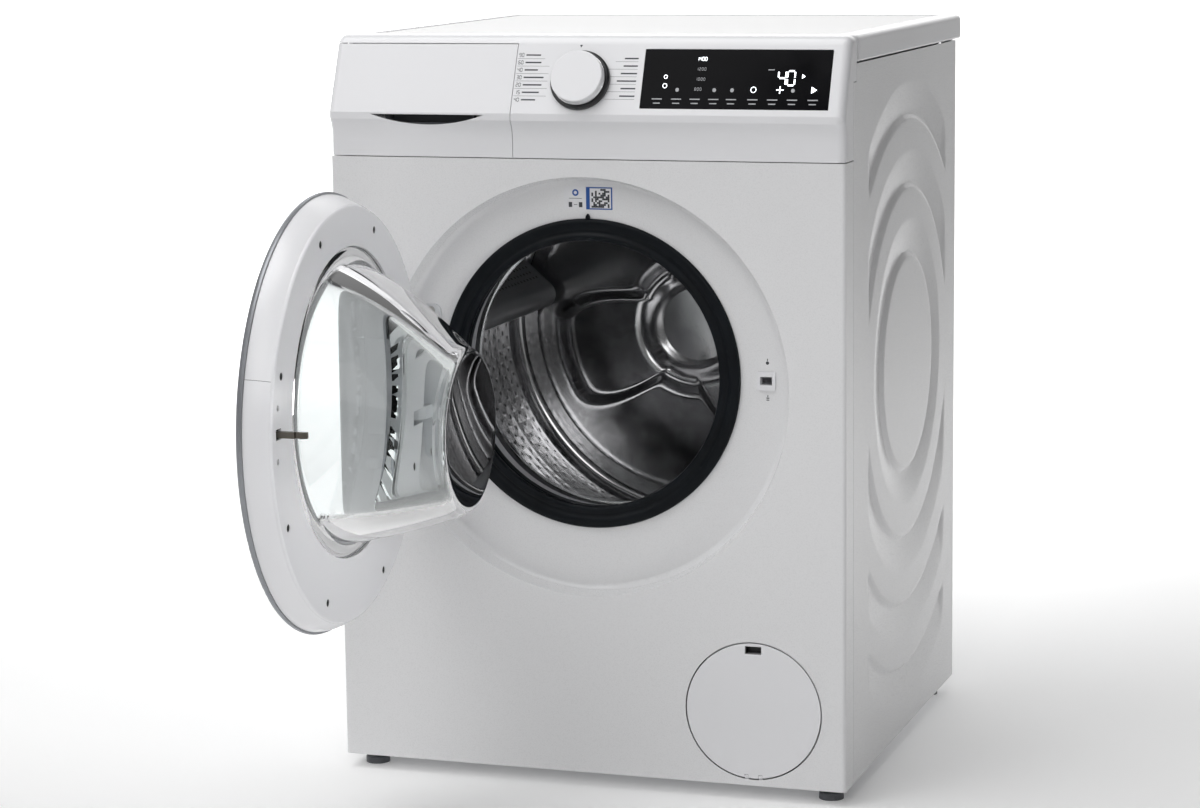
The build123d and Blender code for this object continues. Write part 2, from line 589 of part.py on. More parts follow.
def door_glass():
    """Deep glass bowl whose root flares into the flange that the door's shell clamps."""
    glass = bowl_solid(0, BOWL[0][0], BOWL_END)
    seat, root = DOOR_BACK - 3.2, DOOR_BACK + 1.2
    glass += lathe(make_face([
        Line((140, seat - 5.8), (GLASS_FLANGE_R, seat - 5.8)),
        Line((GLASS_FLANGE_R, seat - 5.8), (GLASS_FLANGE_R, seat)),
        Line((GLASS_FLANGE_R, seat), (162, seat)),
        ThreePointArc((162, seat), (154.6, seat + 1.3), (150.4, root)),
        Line((150.4, root), (140, root)),
        Line((140, root), (140, seat - 5.8)),
    ]))
    return glass - bowl_solid(GLASS, 2 * BOWL[0][0], BOWL_END - GLASS)


def hinge_carrier():
    """Cast block inside the door between and beyond the hinge arms; it holds the pin."""
    low, high = HINGE_LEVELS
    parts = []
    for z0, z1 in ((low - 17, low - 8.4), (low + 8.4, high - 8.4), (high + 8.4, high + 17)):
        parts.append(block(HINGE_X - 5, HINGE_X + 34, HINGE_DEPTH - 2.6, HINGE_DEPTH + 9, z0, z1))
        parts.append(block(HINGE_X - 5, HINGE_X + 6, HINGE_DEPTH - 6, HINGE_DEPTH, z0, z1))
    spine = block(HINGE_X + 29.6, HINGE_X + 38, HINGE_DEPTH - 2.6, HINGE_DEPTH + 17, low - 17, high + 17)
    body = (union(parts) + spine) & rod_y(0, DOOR_Z, DOOR_R + 3.2, -20, 20)
    return body - rod_z(HINGE_X, HINGE_DEPTH, HINGE_PIN_R, low - 18, high + 18)


def hinge_pin():
    low, high = HINGE_LEVELS
    return rod_z(HINGE_X, HINGE_DEPTH, HINGE_PIN_R, low - 17, high + 17)


def hinge_bracket():
    """Steel plate on the recess floor with two goose-necked arms that reach forward to the pin."""
    x0, x1, half = HINGE_PLATE
    plate = block(x0, x1, 19.3, 22.3, DOOR_Z - half, DOOR_Z + half)
    plate = fillet(plate.edges().filter_by(Axis.Y), 8)
    for z in HINGE_LEVELS:
        hx, hy = HINGE_X, FRONT + HINGE_DEPTH
        arm = poly((hx - 3, hy + 4.5), (hx + 3.5, hy - 4.6), (hx + 17, hy + 6.5), (hx + 23, hy + 14),
                   (hx + 25, hy + 30), (hx + 15, hy + 30), (hx + 13.5, hy + 18), (hx + 9, hy + 13))
        arm = Pos(0, 0, z - 7) * extrude(arm, 14)
        arm += rod_z(hx, HINGE_DEPTH, 5.6, z - 7, z + 7)
        plate += arm
        plate -= rod_z(hx, HINGE_DEPTH, HINGE_PIN_R + RUNNING_GAP, z - 10, z + 10)
    for z in HINGE_SCREW_Z:
        plate -= rod_y(HINGE_SCREW_X, z, 2.6, 15, 30)
    return plate


def hinge_screws():
    screws = []
    for z in HINGE_SCREW_Z:
        head = rod_y(HINGE_SCREW_X, z, 4.6, 17.3, 19.3)
        screws.append(head + rod_y(HINGE_SCREW_X, z, 2.5, 19, 36))
    return union(screws)


def latch_hook():
    """Flat steel hook; it tips a little on its pin when the door is pulled."""
    root, tip = LATCH_DEPTH - 5, DOOR_BACK + 31
    face = poly((-3.2, root), (3.2, root), (3.2, tip - 13), (1.2, tip - 12),
                (1.2, tip - 8), (4.4, tip - 7), (1.0, tip), (-2.6, tip))
    hook = Pos(LATCH_X, FRONT, MOUTH_Z - 3.2) * extrude(face, 6.4)
    return hook - rod_z(LATCH_X, LATCH_DEPTH, 1.5 + RUNNING_GAP, MOUTH_Z - 10, MOUTH_Z + 10)


def latch_pin():
    return rod_z(LATCH_X, LATCH_DEPTH, 1.5, MOUTH_Z - 11, MOUTH_Z + 11)


def latch_carrier():
    """Moulded box in the door that holds the latch pin and its spring."""
    box = block(LATCH_X - 10, LATCH_X + 10, -10.8, DOOR_BACK - 3.2, MOUTH_Z - 12, MOUTH_Z + 12)
    box -= block(LATCH_X - 7, LATCH_X + 7, -2, 30, MOUTH_Z - 5.5, MOUTH_Z + 5.5)
    return box - rod_z(LATCH_X, LATCH_DEPTH, 1.5, MOUTH_Z - 11.2, MOUTH_Z + 11.2)


def door_lock():
    """Lock body behind the front panel with a square bezel and the slot for the hook."""
    bezel = block(LATCH_X - 10.5, LATCH_X + 10.5, 20.6, 22.4, MOUTH_Z - 10.5, MOUTH_Z + 10.5)
    bezel = fillet(bezel.edges().filter_by(Axis.Y), 1.5)
    body = block(LATCH_X - 16, LATCH_X + 16, 26, 60, MOUTH_Z - 22, MOUTH_Z + 30)
    neck = block(LATCH_X - 8.6, LATCH_X + 8.6, 22, 27, MOUTH_Z - 8.6, MOUTH_Z + 8.6)
    slot = block(LATCH_X - 6.8, LATCH_X + 6.8, 10, 54, MOUTH_Z - 4.6, MOUTH_Z + 4.6)
    cavity = block(LATCH_X - 12, LATCH_X + 8, 30, 56, MOUTH_Z - 6, MOUTH_Z + 6)
    return bezel + neck + body - slot - cavity


# ---- tub, drum and drive --------------------------------------------------------------------------------
def door_gasket():
    """Rubber bellows from the hole in the front panel to just before the collar of the tub."""
    front, back = 17.9, TUB_LIP - 0.6
    face = make_face([
        ThreePointArc((152.2, front + 4), (153.6, front + 1), (157, front)),
        Line((157, front), (171.5, front)),
        ThreePointArc((171.5, front), (174.4, front + 1.2), (175, front + 4)),
        Line((175, front + 4), (174.8, 22.3)),
        Line((174.8, 22.3), (164.6, 22.3)),
        Line((164.6, 22.3), (164.6, 35)),
        Line((164.6, 35), (172, 37)),
        Line((172, 37), (172, back)),
        Line((172, back), (166.7, back)),
        Line((166.7, back), (166.7, 58)),
        Line((166.7, 58), (154.5, 52)),
        Line((154.5, 52), (154.5, 48)),
        Line((154.5, 48), (168, 48)),
        Line((168, 48), (168, 40.5)),
        Line((168, 40.5), (158, 38)),
        Line((158, 38), (152.2, front + 4)),
    ])
    return lathe(face)


def tub_front():
    face = poly((160.5, TUB_LIP), (166.2, TUB_LIP), (166.2, 76), (240, 82), (TUB_R - 0.5, 96),
                (TUB_R, 244), (TUB_R + 9, 244), (TUB_R + 9, 249.8), (TUB_R - 4, 249.8),
                (TUB_R - 4, 98), (238, 86), (160.5, 80))
    tub = lathe(face)
    tub += rod_z(HOSE_X, HOSE_DEPTH, 13, 640, 676)
    tub -= rod_z(HOSE_X, HOSE_DEPTH, 10, 600, 690)
    tub += rod_z(SUMP_X, SUMP_DEPTH, 20, 192, 214)
    tub -= rod_z(SUMP_X, SUMP_DEPTH, 17, 180, 240)
    tub -= rod_y(0, MOUTH_Z, TUB_R - 4, 98, 249)
    tub -= block(-38.3, 38.3, 60, 99, HEATER_Z - 8.3, HEATER_Z + 8.3)
    return tub


def spring_lugs():
    lugs = []
    for side in (-1, 1):
        for depth in SPRING_DEPTHS:
            x = side * SPRING_X
            lug = block(x - 11, x + 11, depth - 6, depth + 6, 596, SPRING_Z0 - 1)
            lugs.append(lug - rod_y(0, MOUTH_Z, TUB_R - 2, depth - 10, depth + 10))
    return union(lugs)


def tub_rear():
    face = poly((TUB_R - 4, 250.2), (TUB_R + 9, 250.2), (TUB_R + 9, 256), (TUB_R, 256), (TUB_R, 456),
                (TUB_R - 8, 464), (60, 464), (46, 497), (BEARING_R, 497), (BEARING_R, 479), (24, 479),
                (24, 466.2), (BEARING_R, 466.2), (BEARING_R, 452), (48, 452), (54, 458),
                (TUB_R - 10, 458), (TUB_R - 4, 452))
    tub = lathe(face)
    for i in range(12):
        angle = 15 + i * 30
        rib = Pos((TUB_R + 48) / 2, 467, 0) * Box(TUB_R - 70, 12, 4)
        tub += Pos(0, FRONT, MOUTH_Z) * Rot(0, angle, 0) * rib
    for side in (-1, 1):
        x = side * DAMPER_X
        lug = block(x - 12, x + 12, DAMPER_DEPTH + 8, DAMPER_DEPTH + 24, 226, 262)
        lug -= rod_y(0, MOUTH_Z, TUB_R - 2, 240, 300)
        tub += lug
        tub += block(x - 9, x + 9, DAMPER_DEPTH - 7, DAMPER_DEPTH + 10, 226, 234)
    mount = block(MOTOR_X - 40, MOTOR_X + 40, 400, 412, MOTOR_Z + 30, 232)
    mount -= rod_y(0, MOUTH_Z, TUB_R - 2, 390, 420)
    mount -= rod_y(MOTOR_X, MOTOR_Z, MOTOR_R + 0.3, 390, 420)
    return tub + mount + spring_lugs()


def front_counterweight():
    """Concrete crescent round the lower half of the door opening."""
    ring = lathe(poly((186, 40), (252, 44), (256, 50), (256, 78), (186, 74)))
    notch = block(-52, 52, 30, 90, MOUTH_Z - 260, MOUTH_Z - 226)
    return (ring & block(-256, 256, 30, 90, MOUTH_Z - 260, MOUTH_Z - 40)) - notch


def top_counterweight():
    weight = block(-50, 190, 262, 440, 720, 788)
    weight -= rod_y(0, MOUTH_Z, TUB_R + 0.4, 240, 460)
    return fillet(weight.edges().filter_by(Axis.Z), 12)


def drum():
    face = make_face([
        ThreePointArc((158, 97), (158.6, DRUM_FRONT + 1.2), (163, DRUM_FRONT)),
        Line((163, DRUM_FRONT), (226, DRUM_FRONT + 4)),
        ThreePointArc((226, DRUM_FRONT + 4), (238, DRUM_FRONT + 9), (DRUM_R, DRUM_FRONT + 22)),
        Line((DRUM_R, DRUM_FRONT + 22), (DRUM_R, DRUM_BACK)),
        Line((DRUM_R, DRUM_BACK), (0, DRUM_BACK)),
        Line((0, DRUM_BACK), (0, DRUM_BACK - 1.5)),
        Line((0, DRUM_BACK - 1.5), (DRUM_R - 1.5, DRUM_BACK - 1.5)),
        Line((DRUM_R - 1.5, DRUM_BACK - 1.5), (DRUM_R - 1.5, DRUM_FRONT + 22)),
        ThreePointArc((DRUM_R - 1.5, DRUM_FRONT + 22), (236.8, DRUM_FRONT + 10.2), (226, DRUM_FRONT + 5.6)),
        Line((226, DRUM_FRONT + 5.6), (163.2, DRUM_FRONT + 1.6)),
        ThreePointArc((163.2, DRUM_FRONT + 1.6), (160.2, DRUM_FRONT + 2.4), (159.6, 97)),
        Line((159.6, 97), (158, 97)),
    ])
    return lathe(face)


def drum_lifters():
    """Three hollow paddles on the drum wall, rounded on top."""
    wall = DRUM_R - 1.5
    d0, d1 = DRUM_FRONT + 36, DRUM_BACK - 14
    crown = LIFTER_HEIGHT - wall
    profile = make_face([
        Line((-46, -wall - 2), (-15, crown - 9)),
        ThreePointArc((-15, crown - 9), (0, crown), (15, crown - 9)),
        Line((15, crown - 9), (46, -wall - 2)),
        Line((46, -wall - 2), (-46, -wall - 2)),
    ])
    paddle = Pos(0, -FRONT, 0) * along_y(profile, d0, d1)
    rims = [edge for edge in paddle.edges() if edge.center().Z > -wall and edge.length < 80]
    paddle = fillet(rims, 7)
    paddle -= Pos(0, (d0 + d1) / 2, crown - 32) * Box(30, d1 - d0 - 30, 36)
    drum_bore = Pos(0, (d0 + d1) / 2, 0) * Rot(90, 0, 0) * Cylinder(wall, d1 - d0)
    paddle = paddle & drum_bore
    return union(Pos(0, FRONT, MOUTH_Z) * Rot(0, angle, 0) * paddle for angle in LIFTER_ANGLES)


def drum_spider():
    """Cast three-armed spider with the drive shaft moulded into its hub."""
    hub = rod_y(0, MOUTH_Z, 34, DRUM_BACK + 0.2, DRUM_BACK + 5.6)
    arms = []
    for i in range(3):
        arm = poly((20, 0.2), (DRUM_R - 8, 0.2), (DRUM_R - 8, 4), (60, 10), (20, 5.6))
        arm = extrude(Pos(0, 0, -14) * arm, 28)
        arms.append(Pos(0, FRONT + DRUM_BACK, MOUTH_Z) * Rot(0, 90 + i * 120, 0) * arm)
    spider = hub + union(arms) - rod_y(0, MOUTH_Z, 19, DRUM_BACK + 5.6, 480)
    tail = BELT_DEPTH + BELT_WIDTH + 6
    nut = Pos(0, FRONT + tail - 1, MOUTH_Z) * Rot(-90, 0, 0) * extrude(RegularPolygon(11, 6), 9)
    return spider + rod_y(0, MOUTH_Z, SHAFT_R, DRUM_BACK + 0.2, tail) + nut


def drum_bearings():
    """Two ball bearings, each as an outer ring with a shielded bore for the shaft."""
    bore = SHAFT_R + RUNNING_GAP
    near = lathe(poly((bore, 452.2), (BEARING_R, 452.2), (BEARING_R, 466.2), (bore, 466.2)))
    far = lathe(poly((bore, 479), (BEARING_R, 479), (BEARING_R, 493), (bore, 493)))
    return near + far


def drum_pulley():
    d0, d1 = BELT_DEPTH, BELT_DEPTH + BELT_WIDTH
    inner, edge = PULLEY_R - 8, PULLEY_R + 3
    rim = lathe(poly((inner, d0 - 2), (edge, d0 - 2), (edge, d0 - 0.6), (PULLEY_R, d0 - 0.6),
                     (PULLEY_R, d1 + 0.6), (edge, d1 + 0.6), (edge, d1 + 2), (inner, d1 + 2)))
    hub = rod_y(0, MOUTH_Z, 26, d0 - 2, d1 + 2)
    spokes = []
    for i in range(6):
        spoke = Pos(PULLEY_R / 2 + 8, (d0 + d1) / 2, 0) * Box(PULLEY_R - 26, BELT_WIDTH - 4, 9)
        spokes.append(Pos(0, FRONT, MOUTH_Z) * Rot(0, i * 60, 0) * spoke)
    return rim + hub + union(spokes) - rod_y(0, MOUTH_Z, SHAFT_R, 480, 540)


def belt_loop(grow, d0, d1):
    """Band outline hugging both pulleys, grown outward."""
    big = Pos(0, MOUTH_Z) * Circle(PULLEY_R + grow)
    small = Pos(MOTOR_X, MOTOR_Z) * Circle(MOTOR_PULLEY_R + grow)
    return along_y(make_hull(big.edges() + small.edges()), d0, d1)


def drive_belt():
    d0, d1 = BELT_DEPTH + 0.4, BELT_DEPTH + BELT_WIDTH - 0.4
    return belt_loop(3.2, d0, d1) - belt_loop(0.4, d0 - 1, d1 + 1)


def motor_body():
    body = rod_y(MOTOR_X, MOTOR_Z, MOTOR_R, 376, 488)
    body = fillet(body.edges(), 5)
    lug = block(MOTOR_X - 34, MOTOR_X + 34, 413, 425, MOTOR_Z + 48, MOTOR_Z + 74)
    lug -= rod_y(0, MOUTH_Z, TUB_R + 1, 400, 440)
    return body + lug - rod_y(MOTOR_X, MOTOR_Z, 6 + RUNNING_GAP, 440, 500)


def motor_pulley():
    shaft = rod_y(MOTOR_X, MOTOR_Z, 6, 446, BELT_DEPTH + BELT_WIDTH + 4)
    return shaft + rod_y(MOTOR_X, MOTOR_Z, MOTOR_PULLEY_R, BELT_DEPTH - 2, BELT_DEPTH + BELT_WIDTH + 2)


def heater():
    """U-shaped element in the gap under the drum, with its flange at the front."""
    z = HEATER_Z
    legs = tube_through([(-30, 82, z), (-30, 400, z), (30, 400, z), (30, 82, z)], 24, 3.6)
    return legs + block(-38, 38, 70, 94, z - 8, z + 8) + block(-46, 46, 62, 70.5, z - 12, z + 12)


def suspension_springs():
    springs = []
    height = SPRING_Z1 - SPRING_Z0
    coil = Helix(pitch=8.0, height=height - 8, radius=9.0)
    wire = sweep(Plane(origin=coil @ 0, z_dir=coil % 0) * Circle(1.6), path=coil)
    for side in (-1, 1):
        for depth in SPRING_DEPTHS:
            springs.append(Pos(side * SPRING_X, FRONT + depth, SPRING_Z0 + 4) * wire)
    return union(springs)


def damper_cylinders():
    parts = []
    for x in (-DAMPER_X, DAMPER_X):
        tube = rod_z(x, DAMPER_DEPTH, 14, CASE_Z + 12, 150) - rod_z(x, DAMPER_DEPTH, 7.6, CASE_Z + 30, 160)
        parts.append(tube)
    return union(parts)


def damper_rods():
    return union(rod_z(x, DAMPER_DEPTH, 7.2, 80, 226) for x in (-DAMPER_X, DAMPER_X))


# ---- water path -----------------------------------------------------------------------------------------
def tub_hoses():
    """Ribbed rubber hoses: dispenser to tub, and tub sump to pump."""
    ribs = [(15, 677)]
    for i in range(9):
        z = 680 + i * 6
        ribs += [(18.5, z), (15.5, z + 3)]
    ribs += [(15, 737.6), (12.6, 737.6), (12.6, 677)]
    fill = Pos(HOSE_X, FRONT + HOSE_DEPTH, 0) * revolve(Plane.XZ * poly(*ribs), Axis.Z)
    route = [
        (SUMP_X, SUMP_DEPTH, 191.8),
        (SUMP_X, SUMP_DEPTH, FILTER_Z),
        (149.6, SUMP_DEPTH, FILTER_Z),
    ]
    return fill + tube_through(route, 40, 19, 16.0)


def drain_pump():
    """Filter chamber, volute and pump motor behind the service flap."""
    bore = 29.0 + RUNNING_GAP
    chamber = rod_y(FLAP_X, FILTER_Z, 36, 44, 144)
    motor = rod_y(FLAP_X, FILTER_Z, 27, 143, 196)
    inlet = rod_x(SUMP_DEPTH, FILTER_Z, 15.6, 149.6, FLAP_X - 20)
    outlet = rod_x(SUMP_DEPTH, FILTER_Z, 8, FLAP_X + 30, DRAIN_X - 12.1)
    foot = block(FLAP_X - 24, FLAP_X + 24, 60, 110, CASE_Z + 14.2, FILTER_Z - 34)
    pump = chamber + motor + inlet + outlet + foot
    pump -= rod_y(FLAP_X, FILTER_Z, bore, 40, 134)
    return pump - rod_x(SUMP_DEPTH, FILTER_Z, 12, 140, FLAP_X - 20)


def pump_filter():
    """Screw plug with a grip bar in front and a comb basket behind."""
    plug = rod_y(FLAP_X, FILTER_Z, 33, 38, 43.6)
    grip = block(FLAP_X - 26, FLAP_X + 26, 24, 39, FILTER_Z - 6, FILTER_Z + 6)
    grip = fillet(grip.edges().filter_by(Axis.Y), 4)
    sleeve = rod_y(FLAP_X, FILTER_Z, 29, 43, 60)
    comb = [
        block(FLAP_X - 20, FLAP_X + 20, 58 + i * 9, 61 + i * 9, FILTER_Z - 14, FILTER_Z + 14)
        for i in range(5)
    ]
    spine = block(FLAP_X - 20, FLAP_X + 20, 58, 97, FILTER_Z - 2, FILTER_Z + 2)
    return union([plug, grip, sleeve, spine] + comb)


def service_frame():
    """White well behind the flap, with the two small lugs of the flap's hinge."""
    ring = rod_y(FLAP_X, FLAP_Z, FLAP_R + 5.8, SHEET + 0.1, 42)
    ring -= rod_y(FLAP_X, FLAP_Z, FLAP_R + 2.8, 0, 40)
    ring -= rod_y(FLAP_X, FILTER_Z, 34, 30, 60)
    depth, z = FLAP_AXIS
    for side in (-1, 1):
        x = FLAP_X + side * FLAP_LUG_X
        eye = rod_x(depth, z, 1.9, x - 2, x + 2) & block(x - 2, x + 2, 0, 6, z - 3, z + 3)
        ring += eye + block(x - 2, x + 2, SHEET + 0.2, 8, FLAP_Z - FLAP_R - 4, z + 1.9)
        ring -= rod_x(depth, z, FLAP_PIN_R + RUNNING_GAP, x - 3, x + 3)
    return ring


def filter_flap():
    """Round flap with a finger slot at the top and two hinge pins in notches of its lower edge."""
    flap = rod_y(FLAP_X, FLAP_Z, FLAP_R, 0, 2.4)
    flap = fillet(flap.edges().group_by(Axis.Y)[0], 0.6)
    flap -= block(FLAP_X - 9.5, FLAP_X + 9.5, -1, 5, FLAP_Z + 65, FLAP_Z + 74)
    pocket = block(FLAP_X - 12, FLAP_X + 12, 2.2, 14, FLAP_Z + 62, FLAP_Z + 72.4)
    pocket -= block(FLAP_X - 9.5, FLAP_X + 9.5, 0, 12, FLAP_Z + 64.4, FLAP_Z + 74)
    flap += pocket
    depth, z = FLAP_AXIS
    for side in (-1, 1):
        x = FLAP_X + side * FLAP_LUG_X
        flap -= block(x - 2.4, x + 2.4, -1, 4, z - 6, z + 2.4)
        flap += rod_x(depth, z, FLAP_PIN_R, x - 3.2, x + 3.2)
    return flap


def inlet_valve():
    body = block(INLET_X - 20, INLET_X + 20, 490, 536, INLET_Z - 18, INLET_Z + 18)
    body = fillet(body.edges().filter_by(Axis.Y), 5)
    coil = rod_z(INLET_X + 8, 508, 12, INLET_Z - 44, INLET_Z - 17)
    collar = rod_y(INLET_X, INLET_Z, 17, 535, SIDE_BACK)
    nozzle = rod_y(INLET_X, INLET_Z, 13.2, SIDE_BACK - 1, SIDE_BACK + 13)
    spout = rod_y(INLET_X, INLET_Z, 7, 466, 491)
    bore = rod_y(INLET_X, INLET_Z, 8.5, SIDE_BACK - 20, SIDE_BACK + 20)
    return body + coil + collar + nozzle + spout - bore


def cabinet_pipes():
    """Hose from the valve to the dispenser, and drain pipe from the pump to the spigot at the back."""
    hose = rod_y(INLET_X, INLET_Z, 12, HOUSING_BACK + 1, 489)
    hose -= rod_y(INLET_X, INLET_Z, 9.1, HOUSING_BACK, 490)
    pipe = rod_y(DRAIN_X, DRAIN_Z, 12, SUMP_DEPTH - 12, SIDE_BACK)
    pipe += rod_y(DRAIN_X, DRAIN_Z, 10.5, SIDE_BACK - 1, SIDE_BACK + 26)
    return hose + (pipe - rod_y(DRAIN_X, DRAIN_Z, 8.5, SUMP_DEPTH - 8, SIDE_BACK + 30))


def cord_gland():
    body = rod_y(GLAND_X, GLAND_Z, 12, SIDE_BACK - 1.2, SIDE_BACK + 8)
    body += rod_y(GLAND_X, GLAND_Z, 8, 530, SIDE_BACK)
    return body - rod_y(GLAND_X, GLAND_Z, 4.0, 520, SIDE_BACK + 20)


# ---- build ----------------------------------------------------------------------------------------------
def build_nodes():
    blank = fascia_blank()
    right = side_panel_right()
    nodes = {
        "front_panel": front_panel(),
        "side_panel_right": right,
        "side_panel_left": mirror(right, Plane.YZ),
        "rear_panel": rear_panel(),
        "rear_cover": rear_cover(),
        "base_plate": base_plate(),
        "feet": feet(),
        "foot_lock_nuts": foot_lock_nuts(),
        "worktop_frame": worktop_frame(),
        "worktop_board": worktop_board(),
        "cross_rails": cross_rails(),
        "control_panel": control_panel(blank),
        "drawer_front": drawer_front(blank),
        "drawer_handle_cup": drawer_handle_cup(),
        "drawer_tray": drawer_tray(),
        "siphon_insert": siphon_insert(),
        "dispenser_housing": dispenser_housing(),
        "display_window": display_window(),
        "control_board": control_board(),
        "knob_ring": knob_ring(),
        "knob_cap": knob_cap(),
        "selector_encoder": selector_encoder(),
        "hinge_bracket": hinge_bracket(),
        "hinge_screws": hinge_screws(),
        "door_lock": door_lock(),
        "door_gasket": door_gasket(),
        "tub_front": tub_front(),
        "tub_rear": tub_rear(),
        "front_counterweight": front_counterweight(),
        "top_counterweight": top_counterweight(),
        "drum": drum(),
        "drum_lifters": drum_lifters(),
        "drum_spider": drum_spider(),
        "drum_bearings": drum_bearings(),
        "drum_pulley": drum_pulley(),
        "drive_belt": drive_belt(),
        "motor_body": motor_body(),
        "motor_pulley": motor_pulley(),
        "heater": heater(),
        "suspension_springs": suspension_springs(),
        "damper_cylinders": damper_cylinders(),
        "damper_rods": damper_rods(),
        "tub_hoses": tub_hoses(),
        "drain_pump": drain_pump(),
        "pump_filter": pump_filter(),
        "service_frame": service_frame(),
        "filter_flap": filter_flap(),
        "inlet_valve": inlet_valve(),
        "cabinet_pipes": cabinet_pipes(),
        "cord_gland": cord_gland(),
    }
    door = {
        "door_ring": door_ring(),
        "door_trim": door_trim(),
        "door_window": door_window(),
        "door_glass": door_glass(),
        "door_screws": door_screws(),
        "hinge_carrier": hinge_carrier(),
        "hinge_pin": hinge_pin(),
        "latch_hook": latch_hook(),
        "latch_pin": latch_pin(),
        "latch_carrier": latch_carrier(),
    }
    for name, shape in door.items():
        nodes[name] = open_door(shape)
    return nodes


os.makedirs("parts", exist_ok=True)
for node_name, node_shape in build_nodes().items():
    export_step(node_shape, os.path.join("parts", node_name + ".step"))
print("wrote the parts")
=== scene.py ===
import json
import math
import random

import bpy
import numpy as np
from mathutils import Matrix, Vector


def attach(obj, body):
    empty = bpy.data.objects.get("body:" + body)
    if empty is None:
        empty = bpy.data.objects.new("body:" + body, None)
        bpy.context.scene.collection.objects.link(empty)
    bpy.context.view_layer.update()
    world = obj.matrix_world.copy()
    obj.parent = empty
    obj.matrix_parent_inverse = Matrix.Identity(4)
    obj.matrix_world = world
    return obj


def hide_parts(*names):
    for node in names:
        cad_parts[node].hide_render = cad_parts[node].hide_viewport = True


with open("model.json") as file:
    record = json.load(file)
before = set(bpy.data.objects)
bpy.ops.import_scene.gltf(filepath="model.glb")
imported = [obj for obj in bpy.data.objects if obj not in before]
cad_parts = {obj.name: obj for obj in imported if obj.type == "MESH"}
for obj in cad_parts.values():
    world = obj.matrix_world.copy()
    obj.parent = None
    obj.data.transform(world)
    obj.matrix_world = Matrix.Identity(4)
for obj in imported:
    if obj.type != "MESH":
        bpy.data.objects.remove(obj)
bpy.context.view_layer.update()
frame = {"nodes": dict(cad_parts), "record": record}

# Every length below is in millimetres, as (x, depth, z): depth is measured from the front panel's plane
# towards the back. place() turns such points into the frame's metres.
FRONT = -275.0
HALF = 299.0
CASE_Z, PLATE_Z = 17.0, 818.0
DOOR_Z, MOUTH_Z = 458.5, 471.5
HINGE_X, HINGE_DEPTH, OPEN_ANGLE = -217.0, -8.0, 88.0
DOOR_BACK = 16.5
SLOPE_FOOT, SLOPE_HEAD = (-7.0, 764.0), (24.5, 838.5)
SIDE_FRONT, SIDE_BACK = 36.8, 552.0      # depths of the edges of the side panels
SHEET = 1.2                              # thickness of the pressed steel
FLAP_X, FLAP_Z = 193.5, 102.4            # centre of the service flap
PRINT_THICK = 0.05                       # height of a printed mark


def place(points):
    points = np.asarray(points, float)
    out = points.copy()
    out[..., 1] += FRONT
    return out / 1000.0


def swing(points):
    """Points of the closed door turned to the open rest position."""
    points = np.asarray(points, float)
    a = math.radians(-OPEN_ANGLE)
    dx, dy = points[..., 0] - HINGE_X, points[..., 1] - HINGE_DEPTH
    out = points.copy()
    out[..., 0] = HINGE_X + dx * math.cos(a) - dy * math.sin(a)
    out[..., 1] = HINGE_DEPTH + dx * math.sin(a) + dy * math.cos(a)
    return out


def smoothstep(lo, hi, v):
    t = np.clip((np.asarray(v, float) - lo) / (hi - lo), 0, 1)
    return t * t * (3 - 2 * t)


# ---- meshes -------------------------------------------------------------------------------------
def add_piece(name, points, faces, material, body, slot, smooth=True, replaces=()):
    mesh = bpy.data.meshes.new(name)
    mesh.from_pydata([tuple(p) for p in place(points)], [], faces)
    mesh.validate()
    mesh.update()
    obj = bpy.data.objects.new(name, mesh)
    bpy.context.collection.objects.link(obj)
    obj.data.materials.append(material)
    if smooth:
        mesh.shade_smooth()
    if smooth == "angle":
        mesh.set_sharp_from_angle(angle=math.radians(35))
    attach(obj, body)
    if replaces:
        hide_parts(*replaces)


def grid_faces(rows, cols, start=0, wrap_rows=False, wrap_cols=False, flip=False):
    faces = []
    for i in range(rows if wrap_rows else rows - 1):
        for j in range(cols if wrap_cols else cols - 1):
            a = start + i * cols + j
            b = start + i * cols + (j + 1) % cols
            c = start + ((i + 1) % rows) * cols + (j + 1) % cols
            d = start + ((i + 1) % rows) * cols + j
            faces.append((d, c, b, a) if flip else (a, b, c, d))
    return faces


def lathe(profile, z, segments, x=0.0, closed=True):
    """Profile of (radius, depth) turned round an axis along Y."""
    angles = np.linspace(0, 2 * np.pi, segments, endpoint=False)
    rows = []
    for radius, depth in profile:
        across, up = x + radius * np.cos(angles), z + radius * np.sin(angles)
        rows.append(np.stack([across, np.full(segments, depth), up], 1))
    return np.concatenate(rows), grid_faces(len(profile), segments, wrap_rows=closed, wrap_cols=True)


class Batch:
    """Collects closed little solids into one mesh."""

    def __init__(self):
        self.points, self.faces, self.count = [], [], 0

    def add(self, points, faces):
        points = np.asarray(points, float)
        self.faces += [tuple(i + self.count for i in face) for face in faces]
        self.points.append(points)
        self.count += len(points)

    def prism(self, outline, height, frame_at):
        """outline: (u, v) points; frame_at(u, v, w) gives their place, w from 0 to height."""
        n = len(outline)
        low = [frame_at(u, v, 0.0) for u, v in outline]
        high = [frame_at(u, v, height) for u, v in outline]
        faces = [tuple(reversed(range(n))), tuple(range(n, 2 * n))]
        faces += [(i, (i + 1) % n, n + (i + 1) % n, n + i) for i in range(n)]
        self.add(low + high, faces)

    def piece(self, name, *args, **kwargs):
        add_piece(name, np.concatenate(self.points), self.faces, *args, **kwargs)


def rect(u, v, wide, tall):
    u0, u1, v0, v1 = u - wide / 2, u + wide / 2, v - tall / 2, v + tall / 2
    return [(u0, v0), (u1, v0), (u1, v1), (u0, v1)]


def round_outline(u, v, r, n):
    angles = [2 * math.pi * i / n for i in range(n)]
    return [(u + r * math.cos(a), v + r * math.sin(a)) for a in angles]


